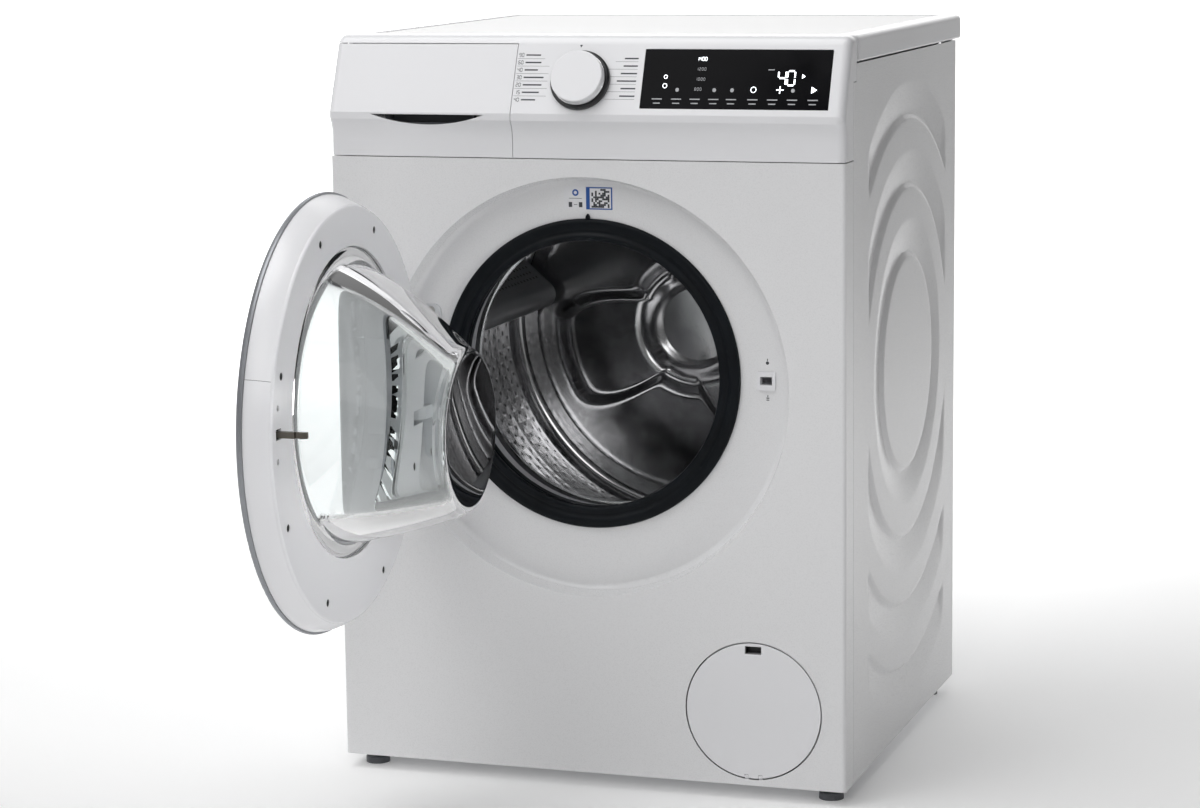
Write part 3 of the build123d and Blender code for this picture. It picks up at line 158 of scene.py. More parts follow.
def stroke(a, b, width):
    """Outline of a straight line of some width from a to b."""
    a, b = Vector(a), Vector(b)
    side = (b - a).normalized()
    side = Vector((-side.y, side.x)) * width / 2
    return [tuple(a - side), tuple(b - side), tuple(b + side), tuple(a + side)]


# ---- materials ----------------------------------------------------------------------------------
def new_material(name):
    mat = bpy.data.materials.new(name)
    mat.use_nodes = True
    nodes, links = mat.node_tree.nodes, mat.node_tree.links
    return mat, nodes, links, nodes["Principled BSDF"]


def noise(nodes, links, scale, detail=3.0, stretch=None):
    coords = nodes.new("ShaderNodeTexCoord")
    source = coords.outputs["Object"]
    if stretch:
        mapping = nodes.new("ShaderNodeMapping")
        mapping.inputs["Scale"].default_value = stretch
        links.new(source, mapping.inputs["Vector"])
        source = mapping.outputs["Vector"]
    texture = nodes.new("ShaderNodeTexNoise")
    texture.inputs["Scale"].default_value = scale
    texture.inputs["Detail"].default_value = detail
    links.new(source, texture.inputs["Vector"])
    return texture.outputs["Fac"]


def spread(nodes, links, value, low, high, from_low=0.3, from_high=0.7):
    """Stretches a value to run from low to high."""
    node = nodes.new("ShaderNodeMapRange")
    node.inputs["From Min"].default_value = from_low
    node.inputs["From Max"].default_value = from_high
    node.inputs["To Min"].default_value = low
    node.inputs["To Max"].default_value = high
    links.new(value, node.inputs["Value"])
    return node.outputs["Result"]


def two_tone(nodes, links, value, dark, light, low=0.3, high=0.7):
    ramp = nodes.new("ShaderNodeValToRGB")
    ramp.color_ramp.elements[0].position = low
    ramp.color_ramp.elements[0].color = (*dark, 1)
    ramp.color_ramp.elements[1].position = high
    ramp.color_ramp.elements[1].color = (*light, 1)
    links.new(value, ramp.inputs["Fac"])
    return ramp.outputs["Color"]


def bump(nodes, links, bsdf, height, strength, distance):
    node = nodes.new("ShaderNodeBump")
    node.inputs["Strength"].default_value = strength
    node.inputs["Distance"].default_value = distance
    links.new(height, node.inputs["Height"])
    links.new(node.outputs["Normal"], bsdf.inputs["Normal"])


def surface(name, colour, rough, metallic=0.0, vary=0.03, rough_vary=0.06, tone_scale=9.0, rough_scale=36.0,
            grain=600.0, grain_depth=0.00004, grain_strength=0.25, coat=0.0, coat_rough=0.1, stretch=None,
            specular=0.5):
    mat, nodes, links, bsdf = new_material(name)
    dark = tuple(max(0.0, c * (1 - vary)) for c in colour)
    light = tuple(min(1.0, c * (1 + vary)) for c in colour)
    links.new(two_tone(nodes, links, noise(nodes, links, tone_scale), dark, light), bsdf.inputs["Base Color"])
    uneven = noise(nodes, links, rough_scale, 4.0)
    links.new(spread(nodes, links, uneven, rough - rough_vary, rough + rough_vary), bsdf.inputs["Roughness"])
    bump(nodes, links, bsdf, noise(nodes, links, grain, 2.0, stretch=stretch), grain_strength, grain_depth)
    bsdf.inputs["Metallic"].default_value = metallic
    bsdf.inputs["Coat Weight"].default_value = coat
    bsdf.inputs["Coat Roughness"].default_value = coat_rough
    bsdf.inputs["Specular IOR Level"].default_value = specular
    return mat


def clear(name, tint, rough, ior):
    mat, nodes, links, bsdf = new_material(name)
    dark = tuple(0.985 * c for c in tint)
    uneven = noise(nodes, links, 40.0)
    links.new(spread(nodes, links, uneven, rough, rough + 0.015), bsdf.inputs["Roughness"])
    links.new(two_tone(nodes, links, noise(nodes, links, 6.0), dark, tint), bsdf.inputs["Base Color"])
    bsdf.inputs["Transmission Weight"].default_value = 1.0
    bsdf.inputs["IOR"].default_value = ior
    return mat


def glow(name, colour, strength):
    mat, nodes, links, bsdf = new_material(name)
    bsdf.inputs["Base Color"].default_value = (*colour, 1)
    dark = tuple(0.85 * c for c in colour)
    links.new(two_tone(nodes, links, noise(nodes, links, 300.0), dark, colour), bsdf.inputs["Emission Color"])
    bsdf.inputs["Emission Strength"].default_value = strength
    return mat


# Roughness noise is kept fine on smooth paint and plastic: a coarse one would show as patches.
WHITE_PAINT = surface("white_paint_mat", (0.80, 0.80, 0.81), 0.28, grain=420.0, grain_depth=0.00002,
                      grain_strength=0.12, coat=0.3, coat_rough=0.12, vary=0.004, rough_vary=0.02,
                      tone_scale=3.0, rough_scale=1100.0)
WHITE_PLASTIC = surface("white_plastic_mat", (0.83, 0.83, 0.85), 0.25, grain=1500.0, grain_depth=0.00001,
                        grain_strength=0.1, vary=0.004, rough_vary=0.02, tone_scale=3.0, rough_scale=1300.0,
                        coat=0.2, coat_rough=0.12)
GALVANISED = surface("galvanised_mat", (0.55, 0.56, 0.58), 0.42, metallic=0.9, vary=0.14, tone_scale=45.0,
                     grain=500.0, rough_vary=0.12)
STAINLESS = surface("stainless_mat", (0.62, 0.62, 0.63), 0.16, metallic=1.0, vary=0.05, rough_vary=0.05,
                    grain=700.0, grain_depth=0.00002, stretch=(1, 14, 1))
ALLOY = surface("alloy_mat", (0.50, 0.51, 0.53), 0.45, metallic=0.9, vary=0.08, tone_scale=40.0, grain=900.0,
                grain_depth=0.00008)
HARDWARE = surface("hardware_mat", (0.55, 0.54, 0.52), 0.28, metallic=1.0, vary=0.08, tone_scale=60.0,
                   grain=1200.0)
CONCRETE = surface("concrete_mat", (0.42, 0.41, 0.39), 0.9, vary=0.22, tone_scale=60.0, grain=250.0,
                   grain_depth=0.0008, grain_strength=0.7)
GREY_POLYMER = surface("grey_polymer_mat", (0.10, 0.105, 0.115), 0.5, vary=0.1, grain=1400.0,
                       grain_depth=0.00008)
TUB_POLYMER = surface("tub_polymer_mat", (0.40, 0.41, 0.43), 0.5, vary=0.06, grain=900.0, grain_depth=0.0001)
BLACK_POLYMER = surface("black_polymer_mat", (0.012, 0.012, 0.014), 0.32, vary=0.2, grain=1300.0)
TRIM_GREY = surface("trim_grey_mat", (0.30, 0.31, 0.33), 0.3, metallic=0.5, vary=0.02, rough_vary=0.02,
                    rough_scale=1100.0, grain=1200.0, grain_depth=0.00001)
DISPLAY = surface("display_mat", (0.003, 0.003, 0.004), 0.12, vary=0.1, rough_vary=0.03, grain=80.0,
                  grain_depth=0.00001, specular=0.09)
GASKET = surface("gasket_mat", (0.004, 0.0055, 0.0075), 0.42, vary=0.25, rough_vary=0.08, tone_scale=22.0,
                 grain=900.0, grain_depth=0.00006, specular=0.14)
HOSE = surface("hose_mat", (0.03, 0.03, 0.034), 0.6, vary=0.2, grain=1000.0, grain_depth=0.0001)
LIFTER = surface("lifter_mat", (0.42, 0.43, 0.45), 0.38, vary=0.05, grain=1200.0, grain_depth=0.00005)
BOARD = surface("worktop_mat", (0.80, 0.80, 0.80), 0.35, vary=0.006, rough_vary=0.03, rough_scale=900.0,
                grain=1800.0, grain_depth=0.00003, grain_strength=0.15)
COVER = surface("cover_mat", (0.66, 0.67, 0.69), 0.45, vary=0.04, grain=1100.0, grain_depth=0.00007)
CIRCUIT = surface("circuit_mat", (0.02, 0.12, 0.05), 0.4, vary=0.3, tone_scale=160.0, grain=900.0)
PANE = clear("pane_mat", (0.93, 0.95, 0.955), 0.0, 1.45)
BOWL = clear("bowl_mat", (0.965, 0.985, 0.98), 0.0, 1.22)      # below real glass, for softer reflections
CHROME = surface("chrome_mat", (0.72, 0.72, 0.73), 0.08, metallic=1.0, vary=0.03, rough_vary=0.03,
                 grain=300.0, grain_depth=0.00001)
PRINT = surface("print_mat", (0.045, 0.047, 0.055), 0.5, vary=0.15, grain=2500.0)
SCREEN_PRINT = surface("screen_print_mat", (0.45, 0.46, 0.48), 0.45, vary=0.1, grain=2500.0)
LIT = glow("lit_mat", (0.92, 0.96, 1.0), 2.6)
DARK_STEEL = surface("dark_steel_mat", (0.16, 0.145, 0.125), 0.34, metallic=1.0, vary=0.12, tone_scale=80.0,
                     grain=1100.0)
BLUE_PRINT = surface("blue_print_mat", (0.02, 0.09, 0.35), 0.4, vary=0.1, grain=2500.0)

BY_SLOT = {
    "white_paint": WHITE_PAINT, "white_plastic": WHITE_PLASTIC, "galvanised": GALVANISED,
    "stainless": STAINLESS, "cast_alloy": ALLOY,
    "zinc_hardware": HARDWARE, "concrete": CONCRETE, "grey_polymer": GREY_POLYMER,
    "tub_polymer": TUB_POLYMER, "black_polymer": BLACK_POLYMER, "trim_grey": TRIM_GREY, "door_pane": PANE,
    "bowl_glass": BOWL, "display_glass": DISPLAY, "gasket_rubber": GASKET, "hose_rubber": HOSE,
    "lifter_grey": LIFTER, "worktop_board": BOARD, "cover_plastic": COVER, "circuit_board": CIRCUIT,
}
BY_NODE = {"latch_hook": DARK_STEEL, "door_screws": BLACK_POLYMER, "hinge_bracket": COVER}
for subpart in frame["record"]["subparts"]:
    node = frame["nodes"][subpart["node"]]
    node.data.materials.clear()
    node.data.materials.append(BY_NODE.get(subpart["node"], BY_SLOT[subpart["material_slot"]]))


# ---- side panels: pressed concentric beads ------------------------------------------------------
BEAD_CENTRE = (300.0, 456.0)
BEAD_RADII = (126.0, 206.0, 286.0, 363.0)
BEAD_REACH = 196.0
BEAD_DEPTH = 4.5
BEAD_STEP = (-2.5, 3.5)          # where a bead's steep flank lies, about its radius
BEAD_FALL = 39.0                 # width of its long slope
BEAD_MARGIN = 14.0               # flat strip along the panel's edges
OUTER_BEAD_DROP = 120.0          # the outermost bead lies only this far under the centre and lower
NOTCH_DEPTH, NOTCH_DROP = 50.6, 20.0     # corner that the control panel takes from a side panel


def bead_relief(depth, z):
    """How far the panel lies inside its plane: a sharp step on the inner side, a long slope outside."""
    rho = np.hypot(depth - BEAD_CENTRE[0], z - BEAD_CENTRE[1])
    relief = np.zeros_like(rho)
    for radius in BEAD_RADII:
        rise = smoothstep(radius + BEAD_STEP[0], radius + BEAD_STEP[1], rho)
        fall = 1 - np.clip((rho - radius - BEAD_STEP[1]) / BEAD_FALL, 0, 1)
        bead = BEAD_DEPTH * rise * fall ** 1.15
        top = PLATE_Z - BEAD_MARGIN if radius != BEAD_RADII[-1] else BEAD_CENTRE[1] - OUTER_BEAD_DROP
        edge = np.minimum.reduce([
            BEAD_REACH - np.abs(depth - BEAD_CENTRE[0]),
            z - CASE_Z - BEAD_MARGIN,
            top - z,
        ])
        relief = np.maximum(relief, bead * smoothstep(-2, 16, edge))
    return relief


def side_panel(side):
    """Closed sheet with its beads, and the two edges that are turned in; side is 1 or -1."""
    depth, z = np.meshgrid(np.linspace(SIDE_FRONT, SIDE_BACK, 206), np.linspace(CASE_Z, PLATE_Z, 321))
    notch = (depth < NOTCH_DEPTH) & (z > PLATE_Z - NOTCH_DROP)
    z = np.where(notch, PLATE_Z - NOTCH_DROP, z)
    relief = bead_relief(depth, z)
    rows, cols = depth.shape
    outer = np.stack([side * (HALF - relief), depth, z], -1).reshape(-1, 3)
    inner = np.stack([side * (HALF - relief - SHEET), depth, z], -1).reshape(-1, 3)
    faces = grid_faces(rows, cols, flip=side > 0) + grid_faces(rows, cols, rows * cols, flip=side < 0)
    border = list(range(cols)) + [i * cols + cols - 1 for i in range(1, rows)]
    border += [(rows - 1) * cols + j for j in range(cols - 2, -1, -1)]
    border += [i * cols for i in range(rows - 2, 0, -1)]
    for a, b in zip(border, border[1:] + border[:1]):
        quad = (a, b, b + rows * cols, a + rows * cols)
        faces.append(quad if side > 0 else tuple(reversed(quad)))
    batch = Batch()
    batch.add(np.concatenate([outer, inner]), faces)
    for x0, x1, d0, d1, z0, z1 in (
        (HALF - 18, HALF - 1.3, SIDE_BACK - SHEET, SIDE_BACK - 0.1, CASE_Z, PLATE_Z),
        (HALF - 14, HALF - 1.3, SIDE_FRONT + 0.1, SIDE_FRONT + SHEET, CASE_Z + 40, 709.5),
    ):
        corners = [(side * x, d, zz) for zz in (z0, z1) for d in (d0, d1) for x in (x0, x1)]
        order = [(0, 2, 3, 1), (4, 5, 7, 6), (0, 1, 5, 4), (2, 6, 7, 3), (0, 4, 6, 2), (1, 3, 7, 5)]
        batch.add(corners, order if side > 0 else [tuple(reversed(f)) for f in order])
    name = "side_panel_" + ("right" if side > 0 else "left")
    batch.piece(name + "_pressed", WHITE_PAINT, "cabinet", "white_paint", smooth="angle",
                replaces=(name,))


for side in (1, -1):
    side_panel(side)


# ---- door gasket --------------------------------------------------------------------------------
def gasket():
    """Folded rubber ring, with a small pointer at its top."""
    profile = [
        (150.6, 27), (150.2, 22.5), (151.0, 19.8), (153.0, 18.5), (155.4, 18.1), (157.2, 18.5),
        (158.4, 19.8), (160.0, 20.6), (161.6, 20.4), (163.2, 19.2), (164.8, 18.3),
        (167.4, 17.8), (170.6, 17.8), (172.8, 18.2),
        (174.2, 19.2), (174.9, 20.8), (174.9, 22.3), (165.0, 22.3), (164.6, 24), (164.6, 35),
        (168.5, 36.2), (171.8, 38.5), (172.0, 59.4), (166.7, 59.4), (163.0, 56.2),
        (156.0, 53.5), (154.6, 51.8), (154.6, 49.6), (156.2, 48.2), (163, 47.6), (167.4, 46.2), (168.0, 44),
        (167.2, 41.6), (163.5, 39.8), (157.5, 38.4), (153.0, 34.5),
    ]
    points, faces = lathe(profile, MOUTH_Z, 240)
    batch = Batch()
    batch.add(points, faces)
    nub = [(-2.6, 175.0), (2.6, 175.0), (1.6, 178.6), (0.0, 180.4), (-1.6, 178.6)]
    batch.prism(nub, -4.0, lambda u, v, w: (u, 22.2 + w, MOUTH_Z + v))
    batch.piece("bellows", GASKET, "cabinet", "gasket_rubber", smooth="angle", replaces=("door_gasket",))


gasket()


# ---- drum ---------------------------------------------------------------------------------------
DRUM_R, DRUM_FRONT, DRUM_BACK = 243.0, 92.0, 440.0
DRUM_INNER_R = DRUM_R - 1.5
DRUM_CORNER = 11.5                       # radius between the wall and the back
DRUM_SEGMENTS = 264
WALL_FRONT, WALL_BACK = DRUM_FRONT + 30, DRUM_BACK - 12      # perforated part of the wall
BACK_FACE = DRUM_BACK - 1.6              # inner face of the back
HOLES_AROUND, HOLES_ALONG, HOLE_R = 96, 20, 2.4


def drum_wall():
    """Perforated cylinder: every tile of the sheet carries one round hole with its rim."""
    step_a, step_d = 2 * math.pi / HOLES_AROUND, (WALL_BACK - WALL_FRONT) / HOLES_ALONG
    batch = Batch()
    radius = DRUM_INNER_R
    square = [(0, 0), (0.5, 0), (1, 0), (1, 0.5), (1, 1), (0.5, 1), (0, 1), (0, 0.5)]
    for i in range(HOLES_AROUND):
        for j in range(HOLES_ALONG):
            a0, e0 = i * step_a, WALL_FRONT + j * step_d
            shift = 0.25 * step_a if j % 2 else -0.25 * step_a
            ac, ec = a0 + step_a / 2 + shift, e0 + step_d / 2
            outer = [(a0 + u * step_a, e0 + v * step_d) for u, v in square]
            inner = []
            for u, v in square:
                angle = math.atan2(v - 0.5, u - 0.5)
                inner.append((ac + HOLE_R * math.cos(angle) / radius, ec + HOLE_R * math.sin(angle)))
            points = []
            for ring, r in ((outer, radius), (inner, radius + 0.25), (inner, radius + 1.2)):
                points += [(r * math.cos(a), e, MOUTH_Z + r * math.sin(a)) for a, e in ring]
            faces = [(k, (k + 1) % 8, 8 + (k + 1) % 8, 8 + k) for k in range(8)]
            faces += [(8 + k, 8 + (k + 1) % 8, 16 + (k + 1) % 8, 16 + k) for k in range(8)]
            batch.add(points, faces)
    return batch


def back_relief(x, z):
    """Embossing of the drum's back wall: three broad smooth pockets round a raised hub."""
    rho, angle = np.hypot(x, z), np.arctan2(z, x)
    petal = 0.5 + 0.5 * np.cos(3 * (angle - math.radians(75)))
    reach = 96 + 96 * smoothstep(0.15, 0.85, petal)
    pocket = smoothstep(0, 34, reach - rho) * smoothstep(48, 78, rho)
    hub = 1 - smoothstep(30, 52, rho)
    rim = smoothstep(205, 222, rho) * (1 - smoothstep(226, 236, rho))
    return 13 * pocket - 7 * hub - 4 * rim


def drum_shell():
    """Perforated wall, embossed back, rounded corner and front with its lip."""
    batch = drum_wall()
    inner = DRUM_INNER_R
    radii = np.concatenate([[0.5], np.linspace(4, inner - DRUM_CORNER, 76)])
    angles = np.linspace(0, 2 * np.pi, DRUM_SEGMENTS, endpoint=False)
    rho, angle = np.meshgrid(radii, angles, indexing="ij")
    x, z = rho * np.cos(angle), rho * np.sin(angle)
    plate = np.stack([x, BACK_FACE - back_relief(x, z), MOUTH_Z + z], -1).reshape(-1, 3)
    batch.add(plate, grid_faces(len(radii), DRUM_SEGMENTS, wrap_cols=True))
    corner = []
    for t in np.linspace(0, math.pi / 2, 8):
        corner.append((inner - DRUM_CORNER + DRUM_CORNER * math.sin(t),
                       BACK_FACE - DRUM_CORNER + DRUM_CORNER * math.cos(t)))
    corner.append((inner, WALL_BACK))
    front = [(inner, WALL_FRONT)]
    front += [(radius, DRUM_FRONT + depth) for radius, depth in (
        (inner, 22), (236.8, 10.2), (226, 5.6), (196, 3.5), (163.2, 1.6), (160.2, 2.4), (159.6, 5),
        (158, 5), (158.6, 1.2), (163, 0), (226, 4), (238, 9), (DRUM_R, 22),
    )]
    front += [(DRUM_R, DRUM_BACK), (0.5, DRUM_BACK)]
    for profile in (corner, front):
        points, faces = lathe(profile, MOUTH_Z, DRUM_SEGMENTS, closed=False)
        batch.add(points, faces)
    batch.piece("drum_shell", STAINLESS, "drum", "stainless", smooth="angle", replaces=("drum",))


drum_shell()


LIFTER_ANGLES = (100.0, 220.0, 340.0)
LIFTER_FOOT, LIFTER_SHOULDER = (46.0, -243.5), (15.0, -192.5)      # ends of a lifter's flat flank
LIFTER_ROWS, LIFTER_HOLES = 4, 24                # rows of water holes, and holes in a row
ROW_PITCH, HOLE_PITCH = 9.0, 11.0


def lifter_hole_painted_shade():
    """Rows of small dark discs on both flanks of the three lifters: painted shade where the water holes are.
    """
    batch = Batch()
    foot, shoulder = np.array(LIFTER_FOOT), np.array(LIFTER_SHOULDER)
    along = (shoulder - foot) / np.linalg.norm(shoulder - foot)
    for turn in LIFTER_ANGLES:
        a = math.radians(turn)
        for side in (-1, 1):
            for row in range(LIFTER_ROWS):
                middle = foot + along * (17.0 + ROW_PITCH * row)
                for k in range(LIFTER_HOLES):
                    d = DRUM_FRONT + 50.0 + HOLE_PITCH * k + (HOLE_PITCH / 2 if row % 2 else 0.0)

                    def at(u, v, w, middle=middle, d=d, side=side, a=a):
                        lift = 0.04 + w
                        x = side * (middle[0] + along[0] * v + along[1] * lift)
                        z = middle[1] + along[1] * v - along[0] * lift
                        across = x * math.cos(a) + z * math.sin(a)
                        return (across, d + u * side, MOUTH_Z - x * math.sin(a) + z * math.cos(a))
                    # each dark disc is painted shade standing for a hole, not a real opening
                    batch.prism(round_outline(0.0, 0.0, 1.7, 10), 0.08, at)
    batch.piece("lifter_hole_painted_shade", BLACK_POLYMER, "drum", "black_polymer", smooth=False)


lifter_hole_painted_shade()


# ---- door: glass bowl ---------------------------------------------------------------------------
BOWL_SECTIONS = (  # distance behind the door's inner face, radius, height of the centre over the drum axis
    (-6.0, 152.6, 0.0),
    (0.0, 150.6, 0.0),
    (46.0, 133.5, -8.0),
    (94.0, 109.0, -18.5),
    (122.0, 92.0, -26.0),
)
BOWL_END, GLASS = 134.0, 5.0             # reach of the end face, and thickness of the glass
BOWL_SEGMENTS = 240


def bowl_rows(shrink, tip, start):
    """Rings of the bowl from its flange to the middle of its end face."""
    s = np.array(BOWL_SECTIONS)
    reach = np.linspace(start, BOWL_SECTIONS[-1][0], 110)
    fit_r = np.polyfit(s[:, 0], s[:, 1], 3)
    fit_c = np.polyfit(s[:, 0], s[:, 2], 3)
    rows = [(r, np.polyval(fit_r, r) - shrink, np.polyval(fit_c, r)) for r in reach]
    rise = rows[-1][2]
    corner = 9.0 - shrink / 2
    edge_r = rows[-1][1] - 3.0
    for t in np.linspace(0.15, math.pi / 2, 14):
        rows.append((tip - corner + corner * math.sin(t), edge_r - corner + corner * math.cos(t), rise))
    for k in np.linspace(0.93, 0.0, 22):
        rows.append((tip + 1.2 * (1 - k * k), max(0.4, (edge_r - corner) * k), rise))
    return rows


def glass_bowl():
    segments = BOWL_SEGMENTS
    angles = np.linspace(0, 2 * np.pi, segments, endpoint=False)

    def rings(rows):
        out = []
        for reach, radius, rise in rows:
            out.append(np.stack([radius * np.cos(angles), np.full(segments, DOOR_BACK + reach),
                                 MOUTH_Z + rise + radius * np.sin(angles)], 1))
        return out

    outer = bowl_rows(0.0, BOWL_END, -6.0)
    inner = bowl_rows(GLASS, BOWL_END - GLASS, -9.0)
    flange = [(-9.0, 147.6, 0.0), (-9.0, 173.5, 0.0), (-3.6, 173.5, 0.0), (-3.2, 162.0, 0.0),
              (-3.0, 158.2, 0.0), (-2.3, 155.4, 0.0), (-1.1, 153.0, 0.0), (0.2, 151.4, 0.0)]
    rows = rings(list(reversed(inner))) + rings(flange) + rings([r for r in outer if r[0] > 1.4])
    points = swing(np.concatenate(rows))
    faces = grid_faces(len(rows), segments, wrap_cols=True)
    cap_in = tuple(range(segments))
    last = (len(rows) - 1) * segments
    cap_out = tuple(reversed(range(last, last + segments)))
    add_piece("glass_bowl", points, faces + [cap_in, cap_out], BOWL, "door", "bowl_glass",
              replaces=("door_glass",))


glass_bowl()


# ---- prints on the control panel ----------------------------------------------------------------
TILT = math.atan2(SLOPE_HEAD[0] - SLOPE_FOOT[0], SLOPE_HEAD[1] - SLOPE_FOOT[1])


def on_slope(lift):
    """Maps (u, v, w) to the sloping face: u is x, v is the height z, w stands off the face by lift + w."""
    def at(u, v, w):
        depth = SLOPE_FOOT[0] + (v - SLOPE_FOOT[1]) * math.tan(TILT)
        off = lift + w
        return (u, depth - off * math.cos(TILT), v + off * math.sin(TILT))
    return at


SEGMENTS = {
    "0": "abcdef", "1": "bc", "2": "abged", "3": "abgcd", "4": "fgbc", "5": "afgcd",
    "6": "afgedc", "7": "abc", "8": "abcdefg", "9": "abcdfg",
}


def digit(batch, char, u, v, size, width, at):
    """Seven-segment figure with its lower left corner at (u, v)."""
    w, h = size * 0.55, size
    lines = {
        "a": ((0, h), (w, h)), "b": ((w, h), (w, h / 2)), "c": ((w, h / 2), (w, 0)), "d": ((0, 0), (w, 0)),
        "e": ((0, 0), (0, h / 2)), "f": ((0, h / 2), (0, h)), "g": ((0, h / 2), (w, h / 2)),
    }
    for key in SEGMENTS[char]:
        (u0, v0), (u1, v1) = lines[key]
        du, dv = (u1 - u0), (v1 - v0)
        trim = 0.12      # gap at both ends of a segment, as a part of its length
        a = (u + u0 + du * trim, v + v0 + dv * trim)
        b = (u + u1 - du * trim, v + v1 - dv * trim)
        batch.prism(stroke(a, b, width), PRINT_THICK, at)


def ring(batch, u, v, radius, width, at):
    """Flat ring of one outer radius and line width."""
    sides = 20
    outer, inner = round_outline(u, v, radius, sides), round_outline(u, v, radius - width, sides)
    for k in range(sides):
        n = (k + 1) % sides
        batch.prism([outer[k], outer[n], inner[n], inner[k]], PRINT_THICK, at)


def programme_marks():
    """Numbers, bars and hairlines beside the knob, and the pointer above it."""
    batch = Batch()
    at = on_slope(0.02)
    random.seed(4)
    top, bottom, rows = 826.9, 778.9, 7
    numbers = ("90", "60", "40", "30", "20", "15", "40")
    for i in range(rows):
        v = top - (top - bottom) * i / (rows - 1)
        for left, start in ((True, -78.5), (False, 62.0)):
            if not left and i == rows - 1:
                continue
            length = random.uniform(15, 24)
            if left:
                batch.prism(rect(start + 9.5 + length / 2, v, length, 1.5), PRINT_THICK, at)
                for k, char in enumerate(numbers[i]):
                    digit(batch, char, start + 1.4 + k * 3.2, v - 1.9, 3.8, 0.6, at)
                rule = (start, start + 38 - (6 if i in (0, 6) else 0))
            else:
                batch.prism(rect(start - length / 2, v - 3.2, length, 1.5), PRINT_THICK, at)
                rule = (start - 34 + (8 if i == 0 else 0), start)
            line_v = v - 3.9 if left else v - 6.6
            if i < rows - 1:
                batch.prism(rect((rule[0] + rule[1]) / 2, line_v, rule[1] - rule[0], 0.28), PRINT_THICK, at)
    batch.prism([(-7.6, 838.0), (-4.4, 838.0), (-6.0, 835.2)], PRINT_THICK, at)
    batch.piece("programme_marks", PRINT, "cabinet", "black_polymer", smooth=False)


def screen_marks():
    """Lit figures and signs of the display, and its faint grey marks."""
    lit, grey = Batch(), Batch()
    at = on_slope(0.42)
    for k, char in enumerate("40"):
        digit(lit, char, 222.5 + k * 10.0, 796.4, 15.0, 1.7, at)
    for k in range(4):
        v = 823.4 - k * 10.6
        for j, char in enumerate(("1400", "1200", "1000", "800")[k]):
            if k == 0:
                digit(lit, char, 129.0 + j * 3.1, v - 1.6, 3.6, 0.6, at)
            else:
                digit(grey, char, 129.6 + j * 3.0, v - 1.4, 3.0, 0.45, at)
    for u, v, r in ((95.5, 804.5, 2.2), (95.5, 795.0, 2.6), (196.0, 791.5, 3.2)):
        ring(lit, u, v, r, 0.6, at)
    for a, b in (((221.5, 791.5), (229.5, 791.5)), ((225.5, 787.6), (225.5, 795.4))):
        lit.prism(stroke(a, b, 1.1), PRINT_THICK, at)
    lit.prism([(260.5, 788.0), (260.5, 795.2), (266.6, 791.6)], PRINT_THICK, at)
    lit.prism([(248.8, 803.4), (248.8, 808.2), (252.4, 805.8)], PRINT_THICK, at)
    for u in (88, 110, 131, 152, 172, 196, 218, 240, 263):
        grey.prism(rect(u, 781.0, 11.5, 1.1), PRINT_THICK, at)
        grey.prism(rect(u, 776.6, 8.0, 1.1), PRINT_THICK, at)
    for u in (110, 152, 172, 240):
        grey.prism(round_outline(u, 790.8, 2.1, 12), PRINT_THICK, at)
    grey.prism(rect(214.0, 812.5, 7.0, 1.0), PRINT_THICK, at)
    lit.piece("screen_figures", LIT, "cabinet", "display_glass", smooth=False)
    grey.piece("screen_marks", SCREEN_PRINT, "cabinet", "display_glass", smooth=False)


programme_marks()
screen_marks()


# ---- small marks on the recess, and painted shade in the flap's pocket --------------------------
def recess_depth(u, v):
    """Depth of the recess floor at a point (x, z): 24 in the middle, 1.5 less at a radius of 226."""
    return 24.0 - 1.5 * math.hypot(u, v - DOOR_Z) / 226.0


LOCK_MARK_X = 205.6
LABEL_Z, LABEL_TALL = 669.0, 25.4
CELL, CELLS = 2.1, 10            # side and number of the label's cells


def recess_marks():
    """Signs above and below the lock, and a plain label with a random grid of cells."""
    grey, blue, sticker = Batch(), Batch(), Batch()

    def at(u, v, w):
        return (u, recess_depth(u, v) - 0.04 - w, v)
    grey.prism(round_outline(205.3, 491.4, 1.9, 14), PRINT_THICK, at)
    grey.prism(rect(205.3, 495.0, 1.0, 2.4), PRINT_THICK, at)
    grey.prism(rect(LOCK_MARK_X, 452.4, 3.4, 1.0), PRINT_THICK, at)
    grey.prism(rect(LOCK_MARK_X, 450.2, 3.4, 0.9), PRINT_THICK, at)
    grey.prism(rect(LOCK_MARK_X, 454.6, 0.9, 2.4), PRINT_THICK, at)

    def raised(u, v, w):
        return (u, recess_depth(u, v) - 0.14 - w, v)
    sticker.prism(rect(0.5, LABEL_Z, 58.0, LABEL_TALL), 0.08, at)
    for u, wide in ((-0.4, 4.4), (27.4, 1.6)):
        blue.prism(rect(u, LABEL_Z, wide, 25.0), PRINT_THICK, raised)
    for v in (657.2, 680.8):
        blue.prism(rect(14.2, v, 24.8, 1.4), PRINT_THICK, raised)
    ring(blue, -15.0, 675.0, 3.8, 1.9, raised)
    random.seed(11)
    for i in range(CELLS):
        for j in range(CELLS):
            if random.random() < 0.52:
                square = rect(4.8 + i * CELL, 659.6 + j * CELL, CELL * 0.98, CELL * 0.98)
                grey.prism(square, PRINT_THICK, raised)
    grey.prism(rect(-15.0, 668.6, 15.0, 0.5), PRINT_THICK, raised)
    for u in (-21.0, -9.0):
        grey.prism(rect(u, 661.6, 4.0, 5.6), PRINT_THICK, raised)
    grey.prism(rect(-15.0, 661.6, 4.0, 0.6), PRINT_THICK, raised)
    grey.piece("recess_icons", PRINT, "cabinet", "black_polymer", smooth=False)
    blue.piece("sticker_blue", BLUE_PRINT, "cabinet", "black_polymer", smooth=False)
    sticker.piece("sticker_plain", WHITE_PLASTIC, "cabinet", "white_plastic", smooth=False)


recess_marks()


